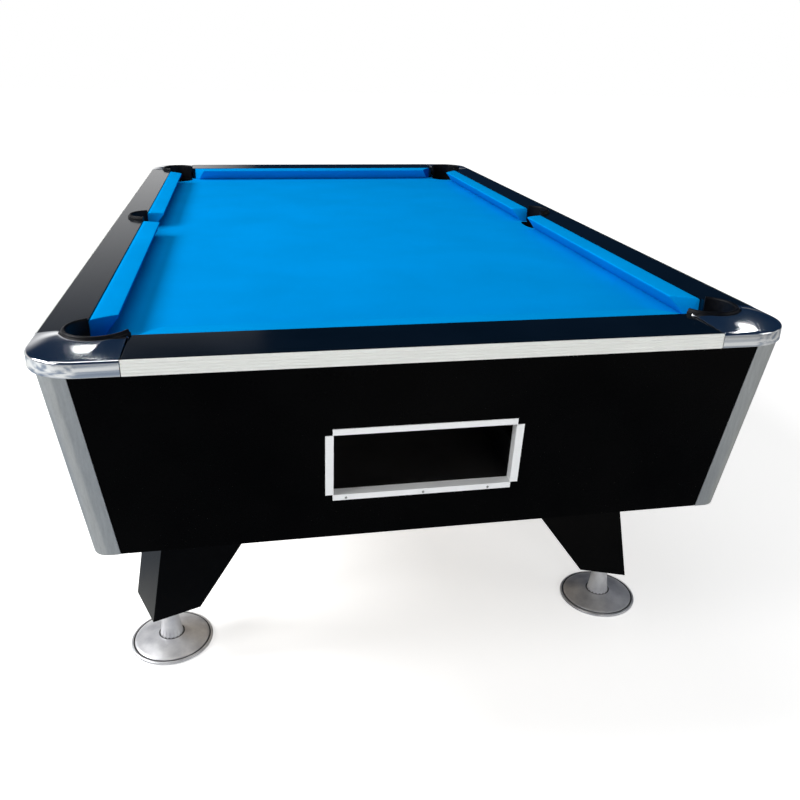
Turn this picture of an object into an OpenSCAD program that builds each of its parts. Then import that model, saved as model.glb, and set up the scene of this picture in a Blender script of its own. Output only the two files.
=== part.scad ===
// Coin-operated pool table with a slate bed, six pockets, a ball run inside and a coin slide
// The window end faces -Y, the coin side faces +X and the floor is at z = 0

/* [Overall size] */
// Length over the edge trims
table_length = 2450; // [2350:10:2600]
// Width over the edge trims
table_width = 1350; // [1330:5:1420]
// Height of the rail tops above the floor
table_height = 826; // [815:1:850]

/* [Rails and cushions] */
// Width of a side rail's flat top, with its trim
side_rail_w = 77; // [74:1:80]
// Width of an end rail's flat top, with its trim
end_rail_w = 127; // [120:1:132]
// Depth of a cushion from its rail to its nose
cushion_depth = 48; // [46:1:50]
// Height of a cushion's nose above the cloth
nose_h = 36.3; // [36:0.1:37]
// Radius of a cushion's nose
nose_r = 2.5; // [2:0.5:4]
// Width of a cushion's underside
cushion_seat = 20; // [16:1:24]
// Height of the rail tops above the cloth
rail_rise = 42; // [41:0.5:44]
// Height of the edge trims
trim_h = 27; // [25:1:29]
// Thickness of the edge trims at their ribs
trim_t = 4; // [3:0.5:6]
// Number of ribs along each edge trim
trim_ribs = 5; // [3:1:7]

/* [Pockets] */
// Radius of the hole inside a pocket liner
pocket_r = 52.5; // [50:0.5:54]
// Wall of a pocket liner below its lip
liner_t = 3.5; // [3:0.5:4]
// Width of a pocket liner's lip
lip_w = 10; // [8:0.5:11]
// Height of a pocket liner's lip
lip_h = 24; // [20:1:26]
// Height of the lip's top above the rail top
lip_rise = 10; // [8:0.5:12]
// Distance of a corner pocket's centre outside the side cushion's nose
corner_out_x = 20; // [18:1:22]
// Distance of a corner pocket's centre outside the end cushion's nose
corner_out_y = 23; // [20:1:25]
// Distance of a side pocket's centre outside the cushion's nose
side_out = 33; // [31:0.5:34]
// Distance from the noses' corner to a cushion's nose end
corner_mouth = 84; // [80:1:90]
// Angle of a cushion's end at a corner pocket
corner_cut = 38; // [34:1:42]
// Half of the nose opening at a side pocket
side_mouth = 74; // [72:1:78]
// Angle of a cushion's end at a side pocket
side_cut = 13; // [10:1:15]

/* [Corner castings] */
// Length of a corner casting along each side
casting_leg = 158; // [150:1:170]
// Radius of a casting's outer corner
casting_r = 92; // [80:1:98]
// Wall of a corner casting
casting_t = 6; // [5:0.5:8]
// Rise of a casting's top towards the pocket
casting_rise = 7; // [5:0.5:8]
// Radius round the pocket at which the rise begins
casting_rise_r = 128; // [115:1:135]

/* [Cabinet] */
// Height of the cabinet below the trims
cabinet_h = 366; // [350:1:380]
// Distance of the cabinet's top edge inside the trims
inset_top = 22; // [18:1:26]
// Distance of the cabinet's bottom edge inside the trims
inset_bottom = 63; // [55:1:70]
// Thickness of the cabinet boards
board_t = 22; // [20:1:24]
// Thickness of the cabinet's floor board
floor_t = 18; // [15:1:22]
// Width of a corner post's face
post_w = 48; // [44:1:54]
// Radius of a corner post's outer edge
post_r = 30; // [24:1:36]
// Wall of a corner post
post_t = 4; // [3:0.5:6]
// Distance of a corner post's face outside the boards
post_proud = 1.5; // [1:0.5:3]

/* [Slate bed] */
// Thickness of the slate
slate_t = 22; // [19:1:25]
// Thickness of the bed cloth
cloth_t = 2; // [1.5:0.5:2.5]
// Height of the slate bearers
bearer_h = 50; // [45:1:52]
// Width of the slate bearers
bearer_w = 40; // [35:1:45]
// Distance of the outer cross bearers inside the end trims
bearer_end = 325; // [300:5:340]
// Distances of the cross bearers inward from the outer ones
bearer_steps = [600, 280, 0]; // [0:10:620]
// Distance of the long bearers inside the side trims
bearer_side = 345; // [300:5:395]

/* [Ball window] */
// Width of the window in the front board
window_w = 340; // [300:5:380]
// Height of the window
window_h = 132; // [120:1:140]
// Distance of the window's middle to the right of the table's middle
window_x = -12; // [-16:1:16]
// Height of the window's sill above the tray's floor
sill_lip = 12; // [8:1:18]
// Face width of the trim strips beside the window
strip_side_w = 13; // [11:0.5:15]
// Face width of the trim strips above and below the window
strip_end_w = 10.5; // [9:0.5:13]
// Thickness of the trim strips
strip_t = 2; // [1.5:0.5:3]
// Depth of the trim strips' flanges in the window
strip_depth = 20; // [16:1:22]

/* [Ball run] */
// Outside width of the gutters
gutter_w = 93; // [90:1:96]
// Wall of the gutters
gutter_t = 4; // [3:0.5:5]
// Height of a gutter's side walls above its floor
gutter_wall = 38; // [34:1:40]
// Distance of a gutter's outer wall inside the side trims
gutter_side = 81; // [80:1:83]
// Depth below the bearers of the trap's floor, where the balls wait
trap_down = 114; // [112:1:116]
// Fall of the right gutter
fall_right = 22; // [15:1:24]
// Fall of the rear gutter
fall_rear = 14; // [10:1:16]
// Fall of the left gutter
fall_left = 16; // [12:1:18]
// Distance from the coin slide's middle to the trap's near end
trap_past_coin = 80; // [78:1:90]
// Length of the trap
trap_long = 700; // [660:10:730]
// Height of the trap's walls above its floor
trap_wall = 57; // [50:1:60]
// Height of the trap's inner rail above its floor
trap_rail = 26.5; // [22:0.5:30]
// Width of the ball tray behind the window
tray_w = 380; // [360:5:400]
// Depth of the tray's floor at the window below the trap's floor
tray_down = 81; // [78:1:86]
// Rise of the tray per unit of its length
tray_slope = 0.012; // [0.008:0.001:0.014]
// Rise of the chute beside the tray per unit of its width
chute_slope = 0.035; // [0.03:0.001:0.038]
// Thickness of the tray and chute boards
tray_t = 9; // [6:1:12]
// Height of the tray's side walls
tray_wall = 60; // [50:1:70]
// Height of the chute's side walls
chute_wall = 48; // [40:1:50]

/* [Trap and coin slide] */
// Radius of the trap's shaft
shaft_r = 4; // [3:0.5:5]
// Radial clearance of the shaft in its bearings
shaft_gap = 0.05; // [0.03:0.01:0.1]
// Distance of the trap's shaft inside the gutter's outer wall
shaft_in = 11; // [10:1:13]
// Wall of the flap's barrel round the shaft
barrel_t = 2.5; // [2:0.5:3]
// Travel of the coin slide
slide_travel = 32; // [28:1:33]
// Angle through which the trap drops
trap_drop = 36; // [32:1:40]
// Thickness of the trap's flap
flap_t = 4; // [3:0.5:5]
// Radius of the pin on the push rod
pin_r = 3; // [2.5:0.5:3.5]
// Clearance of the pin in the crank's slot
pin_gap = 0.8; // [0.7:0.1:1]
// Thickness of the crank
crank_t = 5; // [4:0.5:6]
// Wall of the crank beside its slot
crank_wall = 4; // [3:0.5:5]
// Distance of the coin slide's middle inside the window end's trims
coin_end = 265; // [260:1:270]
// Height of the coin slide above the trap's floor
coin_over_trap = 4; // [2:1:6]
// Width of the coin mechanism's housing
coin_w = 100; // [94:1:104]
// Height of the coin mechanism's housing
coin_h = 50; // [46:1:54]
// Width of the coin slide
slide_w = 60; // [54:1:64]
// Thickness of the coin slide
slide_t = 6; // [5:0.5:7]
// Clearance round the coin slide
slide_gap = 0.5; // [0.4:0.1:0.8]
// Length of the coin slide
slide_long = 123.5; // [120:0.5:126]
// Distance of the slide's grip inside the side trims
slide_inset = 2; // [1:0.5:4]
// Length of the slide that shows behind its housing
slide_bare = 10; // [8:1:14]
// Thickness of the slide's grip
grip_t = 6; // [5:0.5:8]
// Height of the slide's grip
grip_h = 18; // [14:1:22]
// Length and width of a coin slot
coin_slot = [24, 3]; // [2:0.5:28]
// Distance between the coin slots
slot_pitch = 28; // [22:1:32]
// Thickness of the push rod
rod_t = 5; // [4:0.5:6]
// Width of the push rod
rod_w = 16; // [12:1:18]
// Thickness of the coin mechanism's plate
plate_t = 3; // [2:0.5:4]
// Width of the plate's rim round the housing
plate_rim = 8; // [6:1:10]
// Height of the funnel under the housing
funnel_h = 40; // [30:1:50]
// Width of the funnel across the table
funnel_w = 28; // [24:1:30]
// Wall of the funnel
funnel_t = 2; // [1.5:0.5:3]
// Gap between the funnel and the cash box
funnel_gap = 4; // [3:0.5:6]

/* [Cash door] */
// Width of the cash door's leaf
door_w = 150; // [140:1:155]
// Clearance between the coin mechanism's plate and the cash door's frame
door_clear = 4; // [3:0.5:6]
// Thickness of the leaf
door_t = 3.5; // [3:0.5:4]
// Width of the frame round the leaf
door_frame_w = 19; // [17:1:20]
// Thickness of the frame
frame_t = 3; // [2:0.5:4]
// Width of the frame that lies on the board
frame_lap = 4; // [3:0.5:6]
// Gap round the leaf, and behind it
door_gap = 0.5; // [0.4:0.1:0.8]
// Height of the leaf's lower edge above the cabinet's bottom
door_up = 24; // [23:1:25]
// Radius of the hinge knuckles
knuckle_r = 3.5; // [3:0.1:4]
// Radius of the hinge pin
hinge_pin_r = 1.5; // [1.2:0.1:1.8]
// Share of the hinge that each end knuckle takes
knuckle_share = 0.2; // [0.15:0.01:0.25]
// Radius of the lock's barrel
lock_r = 9; // [8:0.5:10]
// Distance of the lock's axis from the leaf's free edge
lock_in = 22; // [20:1:26]
// Depth of the lock behind the leaf
lock_deep = 9; // [8:0.5:12]
// Thickness of the lock's head, and its width past the barrel
lock_head = 3; // [2:0.5:4]
// Length of the lock's cam from its axis
cam_reach = 28; // [26:1:30]
// Width of the cam
cam_w = 10; // [8:1:12]
// Thickness of the cam
cam_t = 2.5; // [2:0.5:3]
// Width of the keyway
key_t = 1.4; // [1:0.1:2]
// Clearance of the cash box from the boards
box_clear = 3; // [2:0.5:5]
// Wall of the cash box
cash_box_t = 2; // [1:0.5:3]

/* [Legs and feet] */
// Height of the legs' underside above the floor
leg_z = 111; // [100:1:125]
// Width of a leg's underside
leg_w = 107; // [100:1:115]
// Depth of a leg
leg_depth = 126; // [115:1:135]
// Distance that a leg's outer edge leans outward on the way down
leg_flare = 61; // [50:1:70]
// Distance that a leg's inner edge leans outward on the way down
leg_slant = 259; // [240:1:275]
// Angle of the legs to the end of the table
leg_turn = 21.4; // [15:0.1:25]
// Distance of a foot's axis inside the side trims
foot_side = 145; // [135:1:165]
// Distance of a foot's axis inside the end trims
foot_end = 354; // [335:1:375]
// Radius of a leg bolt
bolt_r = 5; // [4:0.5:6]
// Length of a bolt inside its leg
bolt_in = 55; // [45:1:60]
// Distances of the bolts from the outer and the inner edge of a leg's top
bolt_edges = [40, 90]; // [30:5:110]
// Diameter of a foot's disc
foot_d = 186; // [170:1:200]
// Height of a foot's rim
foot_rim = 9; // [7:1:12]
// Height of a foot's disc at its hub
foot_hub_h = 22; // [18:1:26]
// Diameter of a stem at its base
stem_base_d = 52; // [46:1:60]
// Diameter of a stem
stem_d = 34; // [30:1:38]
// Length of a stem inside its leg
stem_in = 55; // [45:1:60]
// Length of a stem's straight neck below its leg
stem_neck = 14; // [10:1:20]
// Height of the step from the disc's cone to its hub
hub_step = 4; // [3:0.5:5]
// Distance that a foot can be screwed up
foot_up = 10; // [5:1:12]
// Distance that a foot can be screwed down
foot_down = 30; // [20:1:30]

/* [Hidden] */
CORNERS = ["front_left", "front_right", "rear_left", "rear_right"];
ENDS = ["front", "rear"];
SIDES = ["left", "right"];

// Round shapes have this many sides in a preview
$fn = 96;
// A cut passes its solid by this much
over = 1;
// Fixed pieces that only rest against each other stay this far apart
seat = 0.3;
// A liner stands this far from the hole round it
liner_gap = 0.5;

// Heights, from the rail tops down
z_rail = table_height;
z_cabinet_top = z_rail - trim_h;
z_cabinet = z_cabinet_top - cabinet_h;
z_cloth = z_rail - rail_rise;
z_slate = z_cloth - cloth_t;
z_bearer = z_slate - slate_t;
z_bearer_low = z_bearer - bearer_h;
taper = (inset_bottom - inset_top) / cabinet_h;
taper_angle = atan(taper);
trap_z = z_bearer_low - trap_down;
tray_z = trap_z - tray_down;
window_z = tray_z + sill_lip;
coin_z = trap_z + coin_over_trap;
window_up = (window_z - z_cabinet) / cos(taper_angle);

// Half sizes of the cabinet's outside at a height
function half_w(z) = table_width / 2 - inset_bottom + (z - z_cabinet) * taper;
function half_l(z) = table_length / 2 - inset_bottom + (z - z_cabinet) * taper;

// Lines in plan, all measured from the middle
rail_x = table_width / 2 - side_rail_w;
rail_y = table_length / 2 - end_rail_w;
nose_x = rail_x - cushion_depth;
nose_y = rail_y - cushion_depth;
corner_x = nose_x + corner_out_x;
corner_y = nose_y + corner_out_y;
side_x = nose_x + side_out;
tube_r = pocket_r + liner_t;
lip_r = pocket_r + lip_w;
well_r = tube_r + liner_gap;
casting_bore = lip_r + liner_gap;
slate_half_w = half_w(z_bearer) - board_t - 5 * seat;
slate_half_l = half_l(z_bearer) - board_t - 5 * seat;
liner_low = z_bearer - liner_t / 2;
gutter_x = table_width / 2 - gutter_side;
shaft_x = gutter_x - shaft_in;
bearer_x = table_width / 2 - bearer_side;
bearer_y = [for (step = bearer_steps) table_length / 2 - bearer_end - step];
foot_x = table_width / 2 - foot_side;
foot_y = table_length / 2 - foot_end;

// Coin mechanism and cash door; heights up the board are along its slope
coin_y = coin_end - table_length / 2;
coin_up = (coin_z - z_cabinet) / cos(taper_angle);
slide_x = [table_width / 2 - slide_inset - slide_long, table_width / 2 - slide_inset];
housing_x = slide_x[0] + slide_bare;
cash_box_h = coin_z - coin_h / 2 - funnel_h - funnel_gap - z_cabinet - floor_t;
door_y = coin_y - door_w / 2 - slide_w / 4;
door_h = coin_up - coin_h / 2 - plate_rim - door_clear - door_up - door_frame_w;
door_hole = door_frame_w - frame_lap;
knuckle_x = frame_t + knuckle_r + door_gap;

// Angles at which a liner's lip meets the rails' inner faces
lip_start = atan2(sqrt(pow(lip_r, 2) - pow(rail_x - corner_x, 2)), corner_x - rail_x);
lip_end = atan2(corner_y - rail_y, sqrt(pow(lip_r, 2) - pow(rail_y - corner_y, 2))) + 360;
side_lip = acos((rail_x - side_x) / lip_r);

// The trap: the crank leans out by half its swing, so its pin passes over the shaft at half travel
trap_y = [coin_y + trap_past_coin, coin_y + trap_past_coin + trap_long];
hinge_z = trap_z - 2 * flap_t;
pin_h = slide_travel / 2 / tan(trap_drop / 2);
pin_x = shaft_x + slide_travel / 2;
pin_z = hinge_z + pin_h;
barrel_r = shaft_r + barrel_t;
crank_y = trap_y[0] - gutter_t - crank_t / 2 - over;

// Heights of the gutters' floors where each one ends
right_low = trap_z + 2;
right_high = right_low + fall_right;
rear_low = right_high + over;
rear_high = rear_low + fall_rear;
left_low = rear_high + over;
gutter_end = corner_y + tube_r + gutter_t;
gutter_in = gutter_x - gutter_w;

// The slope of the tray and of the chute beside it
tray_front = half_l(tray_z - tray_t) - board_t - seat;
function tray_top(x, y) = tray_z + tray_slope * (y + tray_front) + chute_slope * max(0, x - tray_w / 2);

laminate = "#101012";
aluminium = "#c9c9c4";
chrome = "#d8dade";
blue_cloth = "#0a8ce0";
rubber = "#0c0c0d";
timber = "#8a6f4d";
slate_grey = "#4a4f55";
moulded = "#2b2c2e";
steel = "#9a9c9f";

// Mirrors what is drawn for the front left corner to another corner
module at_corner(name) {
    right = name == "front_right" || name == "rear_right" ? 1 : 0;
    rear = name == "rear_left" || name == "rear_right" ? 1 : 0;
    mirror([right, 0, 0]) mirror([0, rear, 0]) children();
}

module at_end(name) { mirror([0, name == "rear" ? 1 : 0, 0]) children(); }

module at_side(name) { mirror([name == "right" ? 1 : 0, 0, 0]) children(); }

// A box given by its low and high corners
module span(low, high) { translate(low) cube(high - low); }

// Solid with the cabinet's taper, its faces a set distance inside the outside faces
module tapered(inset, low, high) {
    w0 = half_w(low) - inset;
    w1 = half_w(high) - inset;
    l0 = half_l(low) - inset;
    l1 = half_l(high) - inset;
    intersection() {
        rotate([90, 0, 0]) linear_extrude(table_length, center = true)
            polygon([[-w0, low], [w0, low], [w1, high], [-w1, high]]);
        rotate([90, 0, 90]) linear_extrude(table_width, center = true)
            polygon([[-l0, low], [l0, low], [l1, high], [-l1, high]]);
    }
}

// The front board, between the corner posts
module end_board_blank() {
    w0 = half_w(z_cabinet) - post_w;
    w1 = half_w(z_cabinet_top) - post_w;
    intersection() {
        difference() {
            tapered(0, z_cabinet, z_cabinet_top);
            tapered(board_t, z_cabinet - over, z_cabinet_top + over);
        }
        rotate([90, 0, 0]) linear_extrude(table_length)
            polygon([[-w0, z_cabinet], [w0, z_cabinet], [w1, z_cabinet_top], [-w1, z_cabinet_top]]);
    }
}

// The left board, notched at its top for the side pocket
module side_board_blank() {
    l0 = half_l(z_cabinet) - post_w;
    l1 = half_l(z_cabinet_top) - post_w;
    difference() {
        intersection() {
            difference() {
                tapered(0, z_cabinet, z_cabinet_top);
                tapered(board_t, z_cabinet - over, z_cabinet_top + over);
            }
            rotate([90, 0, -90]) linear_extrude(table_width)
                polygon([[-l0, z_cabinet], [l0, z_cabinet], [l1, z_cabinet_top], [-l1, z_cabinet_top]]);
        }
        translate([-side_x, 0, liner_low - liner_gap]) cylinder(h = trim_h + rail_rise + slate_t, r = well_r);
    }
}

// Places what is drawn upright at the foot of the front board, with -Y outward
module on_front_board() {
    translate([0, -half_l(z_cabinet), z_cabinet]) rotate([taper_angle, 0, 0]) children();
}

module front_board() {
    color(laminate) difference() {
        end_board_blank();
        on_front_board()
            translate([window_x - window_w / 2, -board_t, window_up]) cube([window_w, 3 * board_t, window_h]);
    }
}

module rear_board() { color(laminate) at_end("rear") end_board_blank(); }

module left_board() { color(laminate) side_board_blank(); }

// Places what is drawn on a flat board, with x outward, at the foot of the right board
module on_right_board(y) {
    translate([half_w(z_cabinet), y, z_cabinet]) rotate([0, taper_angle, 0]) children();
}

// Right board, open for the coin mechanism and the cash door
module right_board() {
    color(laminate) difference() {
        at_side("right") side_board_blank();
        span([gutter_x, coin_y - coin_w / 2 - seat, coin_z - coin_h / 2 - seat],
             [table_width, coin_y + coin_w / 2 + seat, coin_z + coin_h / 2 + seat]);
        on_right_board(door_y)
            span([-2 * board_t, -door_hole, door_up - door_hole],
                 [board_t, door_w + door_hole, door_up + door_h + door_hole]);
    }
}

module cabinet_floor() {
    color(timber) difference() {
        tapered(board_t + seat, z_cabinet, z_cabinet + floor_t);
        for (c = CORNERS) at_corner(c) leg_bolt_places() bolt_hole();
    }
}

// Outline of a corner with one rounded edge, drawn in by a margin
module rounded_corner(margin) {
    r = post_r - margin;
    translate([post_r, post_r]) circle(r);
    translate([post_r, margin]) square(post_w);
    translate([margin, post_r]) square(post_w);
}

// Extruded corner post: a rounded angle whose returns take the ends of the boards
module post_profile() {
    leg = post_w + post_proud;
    translate([-post_proud, -post_proud]) {
        intersection() {
            difference() {
                rounded_corner(0);
                rounded_corner(post_t);
            }
            square(leg);
        }
        translate([leg - post_t, post_t / 2]) square([post_t, board_t + post_proud - post_t / 2]);
        translate([post_t / 2, leg - post_t]) square([board_t + post_proud - post_t / 2, post_t]);
    }
}

module corner_post(name) {
    color(aluminium) at_corner(name)
        multmatrix([
            [1, 0, -taper, -half_w(z_cabinet)],
            [0, 1, -taper, -half_l(z_cabinet)],
            [0, 0, 1, z_cabinet]
        ]) linear_extrude(cabinet_h) post_profile();
}

module slate_bearers() {
    color(timber) intersection() {
        tapered(board_t + seat, z_bearer_low, z_bearer);
        union() {
            for (y = bearer_y, s = [-1, 1])
                translate([0, s * y, (z_bearer_low + z_bearer) / 2])
                    cube([table_width, bearer_w, bearer_h], center = true);
            for (s = [-1, 1])
                translate([s * bearer_x, 0, (z_bearer_low + z_bearer) / 2])
                    cube([bearer_w, 2 * max(bearer_y), bearer_h], center = true);
        }
    }
}

// Outline of the slate, open at the pockets
module bed_outline(margin, well) {
    difference() {
        square([2 * (slate_half_w - margin), 2 * (slate_half_l - margin)], center = true);
        for (sx = [-1, 1], sy = [-1, 1]) translate([sx * corner_x, sy * corner_y]) circle(well);
        for (sx = [-1, 1]) translate([sx * side_x, 0]) circle(well);
    }
}

module slate() {
    color(slate_grey) translate([0, 0, z_bearer]) linear_extrude(slate_t) bed_outline(0, well_r);
}

module bed_cloth() {
    color(blue_cloth) translate([0, 0, z_slate]) linear_extrude(cloth_t) bed_outline(over, well_r);
}

// Round cut through a rail for a pocket liner
module pocket_cut(x, y) {
    translate([x, y, z_cloth - over]) cylinder(h = rail_rise + 2 * over, r = casting_bore);
}

// End rail: stepped, its inner part on the bed and its outer part on the front board
module rail_end_section() {
    step = half_l(z_cloth) - board_t - over;
    edge = table_length / 2 - trim_t;
    polygon([
        [-rail_y, z_cloth], [-step, z_cloth], [-step, z_cabinet_top], [-edge, z_cabinet_top],
        [-edge, z_rail], [-rail_y, z_rail]
    ]);
}

module rail_end(name) {
    long = table_width - 2 * casting_leg;
    color(laminate) at_end(name) difference() {
        rotate([90, 0, 90]) linear_extrude(long, center = true) rail_end_section();
        for (s = [-1, 1]) pocket_cut(s * corner_x, -corner_y);
    }
}

module rail_side_section() {
    step = half_w(z_cloth) - board_t - over;
    edge = table_width / 2 - trim_t;
    polygon([
        [-rail_x, z_cloth], [-step, z_cloth], [-step, z_cabinet_top], [-edge, z_cabinet_top],
        [-edge, z_rail], [-rail_x, z_rail]
    ]);
}

module rail_side(name) {
    long = table_length - 2 * casting_leg;
    color(laminate) at_side(name) difference() {
        rotate([90, 0, 0]) linear_extrude(long, center = true) rail_side_section();
        pocket_cut(-side_x, 0);
        for (s = [-1, 1]) pocket_cut(-corner_x, s * corner_y);
    }
}

// Ribbed section of an edge trim, from its back at x = 0 outward
module trim_section() {
    pitch = trim_h / trim_ribs;
    rib_r = 0.47 * pitch;
    intersection() {
        square([trim_t, trim_h]);
        union() {
            square([trim_t / 2, trim_h]);
            for (i = [0:trim_ribs - 1])
                translate([trim_t - rib_r, (i + 0.5) * pitch]) circle(rib_r, $fn = 24);
        }
    }
}

module edge_trim(long) {
    rotate([90, 0, 0]) linear_extrude(long, center = true) mirror([1, 0, 0]) trim_section();
}

module edge_trim_end(name) {
    color(aluminium) at_end(name)
        translate([0, -table_length / 2 + trim_t, z_cabinet_top])
            rotate([0, 0, 90]) edge_trim(table_width - 2 * casting_leg);
}

module edge_trim_side(name) {
    color(aluminium) at_side(name)
        translate([-table_width / 2 + trim_t, 0, z_cabinet_top]) edge_trim(table_length - 2 * casting_leg);
}

// Plan of a corner casting at the front left, its walls drawn in by a margin
module casting_outline(margin) {
    r = casting_r - margin;
    x0 = -table_width / 2 + margin;
    y0 = -table_length / 2 + margin;
    leg = casting_leg - 2 * margin;
    difference() {
        intersection() {
            union() {
                translate([x0 + r, y0 + r]) circle(r);
                translate([x0 + r, y0]) square(leg);
                translate([x0, y0 + r]) square(leg);
            }
            translate([x0, y0]) square(leg);
        }
        translate([-rail_x - margin, -rail_y - margin]) square(casting_leg);
        translate([-corner_x, -corner_y]) circle(casting_bore + margin);
    }
}

module corner_casting(name) {
    color(chrome) at_corner(name) intersection() {
        difference() {
            translate([0, 0, z_cabinet_top]) linear_extrude(trim_h + casting_rise) casting_outline(0);
            translate([0, 0, z_cabinet_top - over])
                linear_extrude(trim_h + over - casting_t) casting_outline(casting_t);
        }
        translate([-corner_x, -corner_y, z_cabinet_top - over]) union() {
            cylinder(h = trim_h + over, r = 3 * casting_leg);
            translate([0, 0, trim_h + over - 0.01])
                cylinder(h = casting_rise + 0.01, r1 = casting_rise_r, r2 = casting_bore);
        }
    }
}

// Half section of a liner: its wall and its rounded lip
module liner_section() {
    top = z_rail + lip_rise;
    union() {
        translate([pocket_r, liner_low]) square([liner_t, top - lip_h / 2 - liner_low]);
        translate([pocket_r, top - lip_h]) square([lip_w, lip_h - lip_w / 2]);
        translate([pocket_r + lip_w / 2, top - lip_w / 2]) circle(lip_w / 2);
    }
}

// Liner open towards the bed above the cloth, from one angle round to another
module liner(open_from, open_to) {
    steps = 6;
    reach = 3 * lip_r;
    difference() {
        rotate_extrude() liner_section();
        translate([0, 0, z_cloth]) linear_extrude(2 * rail_rise)
            polygon(concat([[0, 0]], [
                for (i = [0:steps]) let (a = open_from + (open_to - open_from) * i / steps)
                    [reach * cos(a), reach * sin(a)]
            ]));
    }
}

module corner_pocket(name) {
    color(rubber) at_corner(name)
        translate([-corner_x, -corner_y, 0]) liner(lip_end - 360, lip_start);
}

module side_pocket_liners() {
    color(rubber) for (s = SIDES) at_side(s)
        translate([-side_x, 0, 0]) liner(side_lip - 180, 180 - side_lip);
}

// Section of a cushion, from its rail at x = 0 to its nose
module cushion_section() {
    low = z_cloth + over / 2;
    nose = z_cloth + nose_h;
    tip = cushion_depth - nose_r;
    union() {
        polygon([
            [0, low], [cushion_seat, low], [tip, nose - nose_r], [tip, nose + nose_r], [0, z_rail - over]
        ]);
        translate([tip, nose]) circle(nose_r);
    }
}

// Cushion of the front end, with both ends cut for the corner pockets
module cushion_end(name) {
    half = nose_x - corner_mouth;
    back = half + cushion_depth * tan(corner_cut);
    color(blue_cloth) at_end(name) intersection() {
        translate([0, -rail_y + seat, 0])
            rotate([90, 0, 90]) linear_extrude(2 * back, center = true) cushion_section();
        linear_extrude(2 * z_rail)
            polygon([[-back, -rail_y], [back, -rail_y], [half, -nose_y + over], [-half, -nose_y + over]]);
    }
}

// Cushion of the left side, front half
module cushion_side(name) {
    far = nose_y - corner_mouth;
    far_back = far + cushion_depth * tan(corner_cut);
    near_back = side_mouth - cushion_depth * tan(side_cut);
    color(blue_cloth) at_corner(name) intersection() {
        translate([-rail_x + seat, 0, 0])
            rotate([90, 0, 0]) linear_extrude(table_length / 2) cushion_section();
        linear_extrude(2 * z_rail)
            polygon([
                [-rail_x, -far_back], [-rail_x, -near_back],
                [-nose_x + over, -side_mouth], [-nose_x + over, -far]
            ]);
    }
}

// Angle strip along X: a face on the board and a flange into the window, above or below it
module angle_strip(long, face, side) {
    translate([-long / 2, -strip_t, side < 0 ? -face : 0]) cube([long, strip_t, face]);
    translate([-long / 2, -strip_t, side < 0 ? -strip_t : 0]) cube([long, strip_depth, strip_t]);
}

// Four angle strips round the window, butted, so that its outer corners are notched
module window_trim() {
    short = window_h - 2 * strip_t;
    long = window_w - 2 * seat;
    color(aluminium) on_front_board() translate([window_x, 0, window_up]) {
        translate([0, 0, strip_t]) angle_strip(long, strip_end_w + strip_t, -1);
        translate([0, 0, window_h - strip_t]) angle_strip(long, strip_end_w + strip_t, 1);
        for (s = [-1, 1]) mirror([s < 0 ? 1 : 0, 0, 0])
            translate([window_w / 2 - strip_t, 0, strip_t + seat]) {
                translate([0, -strip_t, 0]) cube([strip_side_w + strip_t, strip_t, short - 2 * seat]);
                translate([0, -strip_t, 0]) cube([strip_t - seat, strip_depth, short - 2 * seat]);
            }
    }
}

// Prism across X between two planes, its outline given along Y and Z
module cross_prism(x0, x1, outline) {
    translate([x0, 0, 0]) rotate([90, 0, 90]) linear_extrude(x1 - x0) polygon(outline);
}

// Trough along +Y from its low end, with its floor's top at z = 0 there
module trough(long, fall) {
    past = over * fall / long;
    difference() {
        cross_prism(0, gutter_w, [
            [0, -gutter_t], [long, fall - gutter_t], [long, fall + gutter_wall], [0, gutter_wall]
        ]);
        cross_prism(gutter_t, gutter_w - gutter_t, [
            [-over, -past], [long + over, fall + past],
            [long + over, fall + 2 * gutter_wall], [-over, 2 * gutter_wall]
        ]);
    }
}

// Strap from a gutter's outer wall up to a bearer, drawn on the left
module hanger(y, floor_z) {
    span([-gutter_x, y - bearer_w / 2, floor_z + gutter_wall / 2],
         [-gutter_x + gutter_t, y + bearer_w / 2, z_bearer_low]);
}

function left_floor(y) = left_low + fall_left * (gutter_end - y) / (2 * gutter_end);
function right_floor(y) = right_low + fall_right * (y - trap_y[1]) / (gutter_end - trap_y[1]);

// Left gutter, which runs on across the rear end
module gutter_left() {
    high = left_low + fall_left;
    color(moulded) {
        difference() {
            translate([-gutter_x, gutter_end, left_low]) mirror([0, 1, 0]) trough(2 * gutter_end, fall_left);
            span([-gutter_in - gutter_t - over, gutter_end - gutter_w + gutter_t, left_low],
                 [0, gutter_end - gutter_t, z_bearer]);
        }
        span([-gutter_x, gutter_end - over, left_low - 2 * gutter_t],
             [-gutter_in, gutter_end + gutter_t, left_low + gutter_wall + over]);
        span([-gutter_x, -gutter_end - gutter_t, high - gutter_t - over],
             [-gutter_in, -gutter_end + over, high + gutter_wall + over]);
        translate([gutter_in - seat, gutter_end, rear_low]) rotate([0, 0, 90]) mirror([1, 0, 0])
            trough(2 * gutter_in - seat + gutter_t / 2, fall_rear);
        for (y = bearer_y, s = [-1, 1]) hanger(s * y, left_floor(s * y));
    }
}

// Right gutter, open on its inner side where the rear gutter joins it
module gutter_right() {
    color(moulded) difference() {
        union() {
            translate([gutter_in, trap_y[1], right_low]) trough(gutter_end - trap_y[1], fall_right);
            span([gutter_in, gutter_end - over, right_high - gutter_t - over],
                 [gutter_x, gutter_end + gutter_t, right_high + gutter_wall + over]);
            for (y = bearer_y) mirror([1, 0, 0]) hanger(y, right_floor(y));
        }
        span([gutter_in - over, gutter_end - gutter_w + gutter_t, right_high - over],
             [gutter_in + gutter_t + over, gutter_end - gutter_t, z_bearer]);
    }
}

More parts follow.
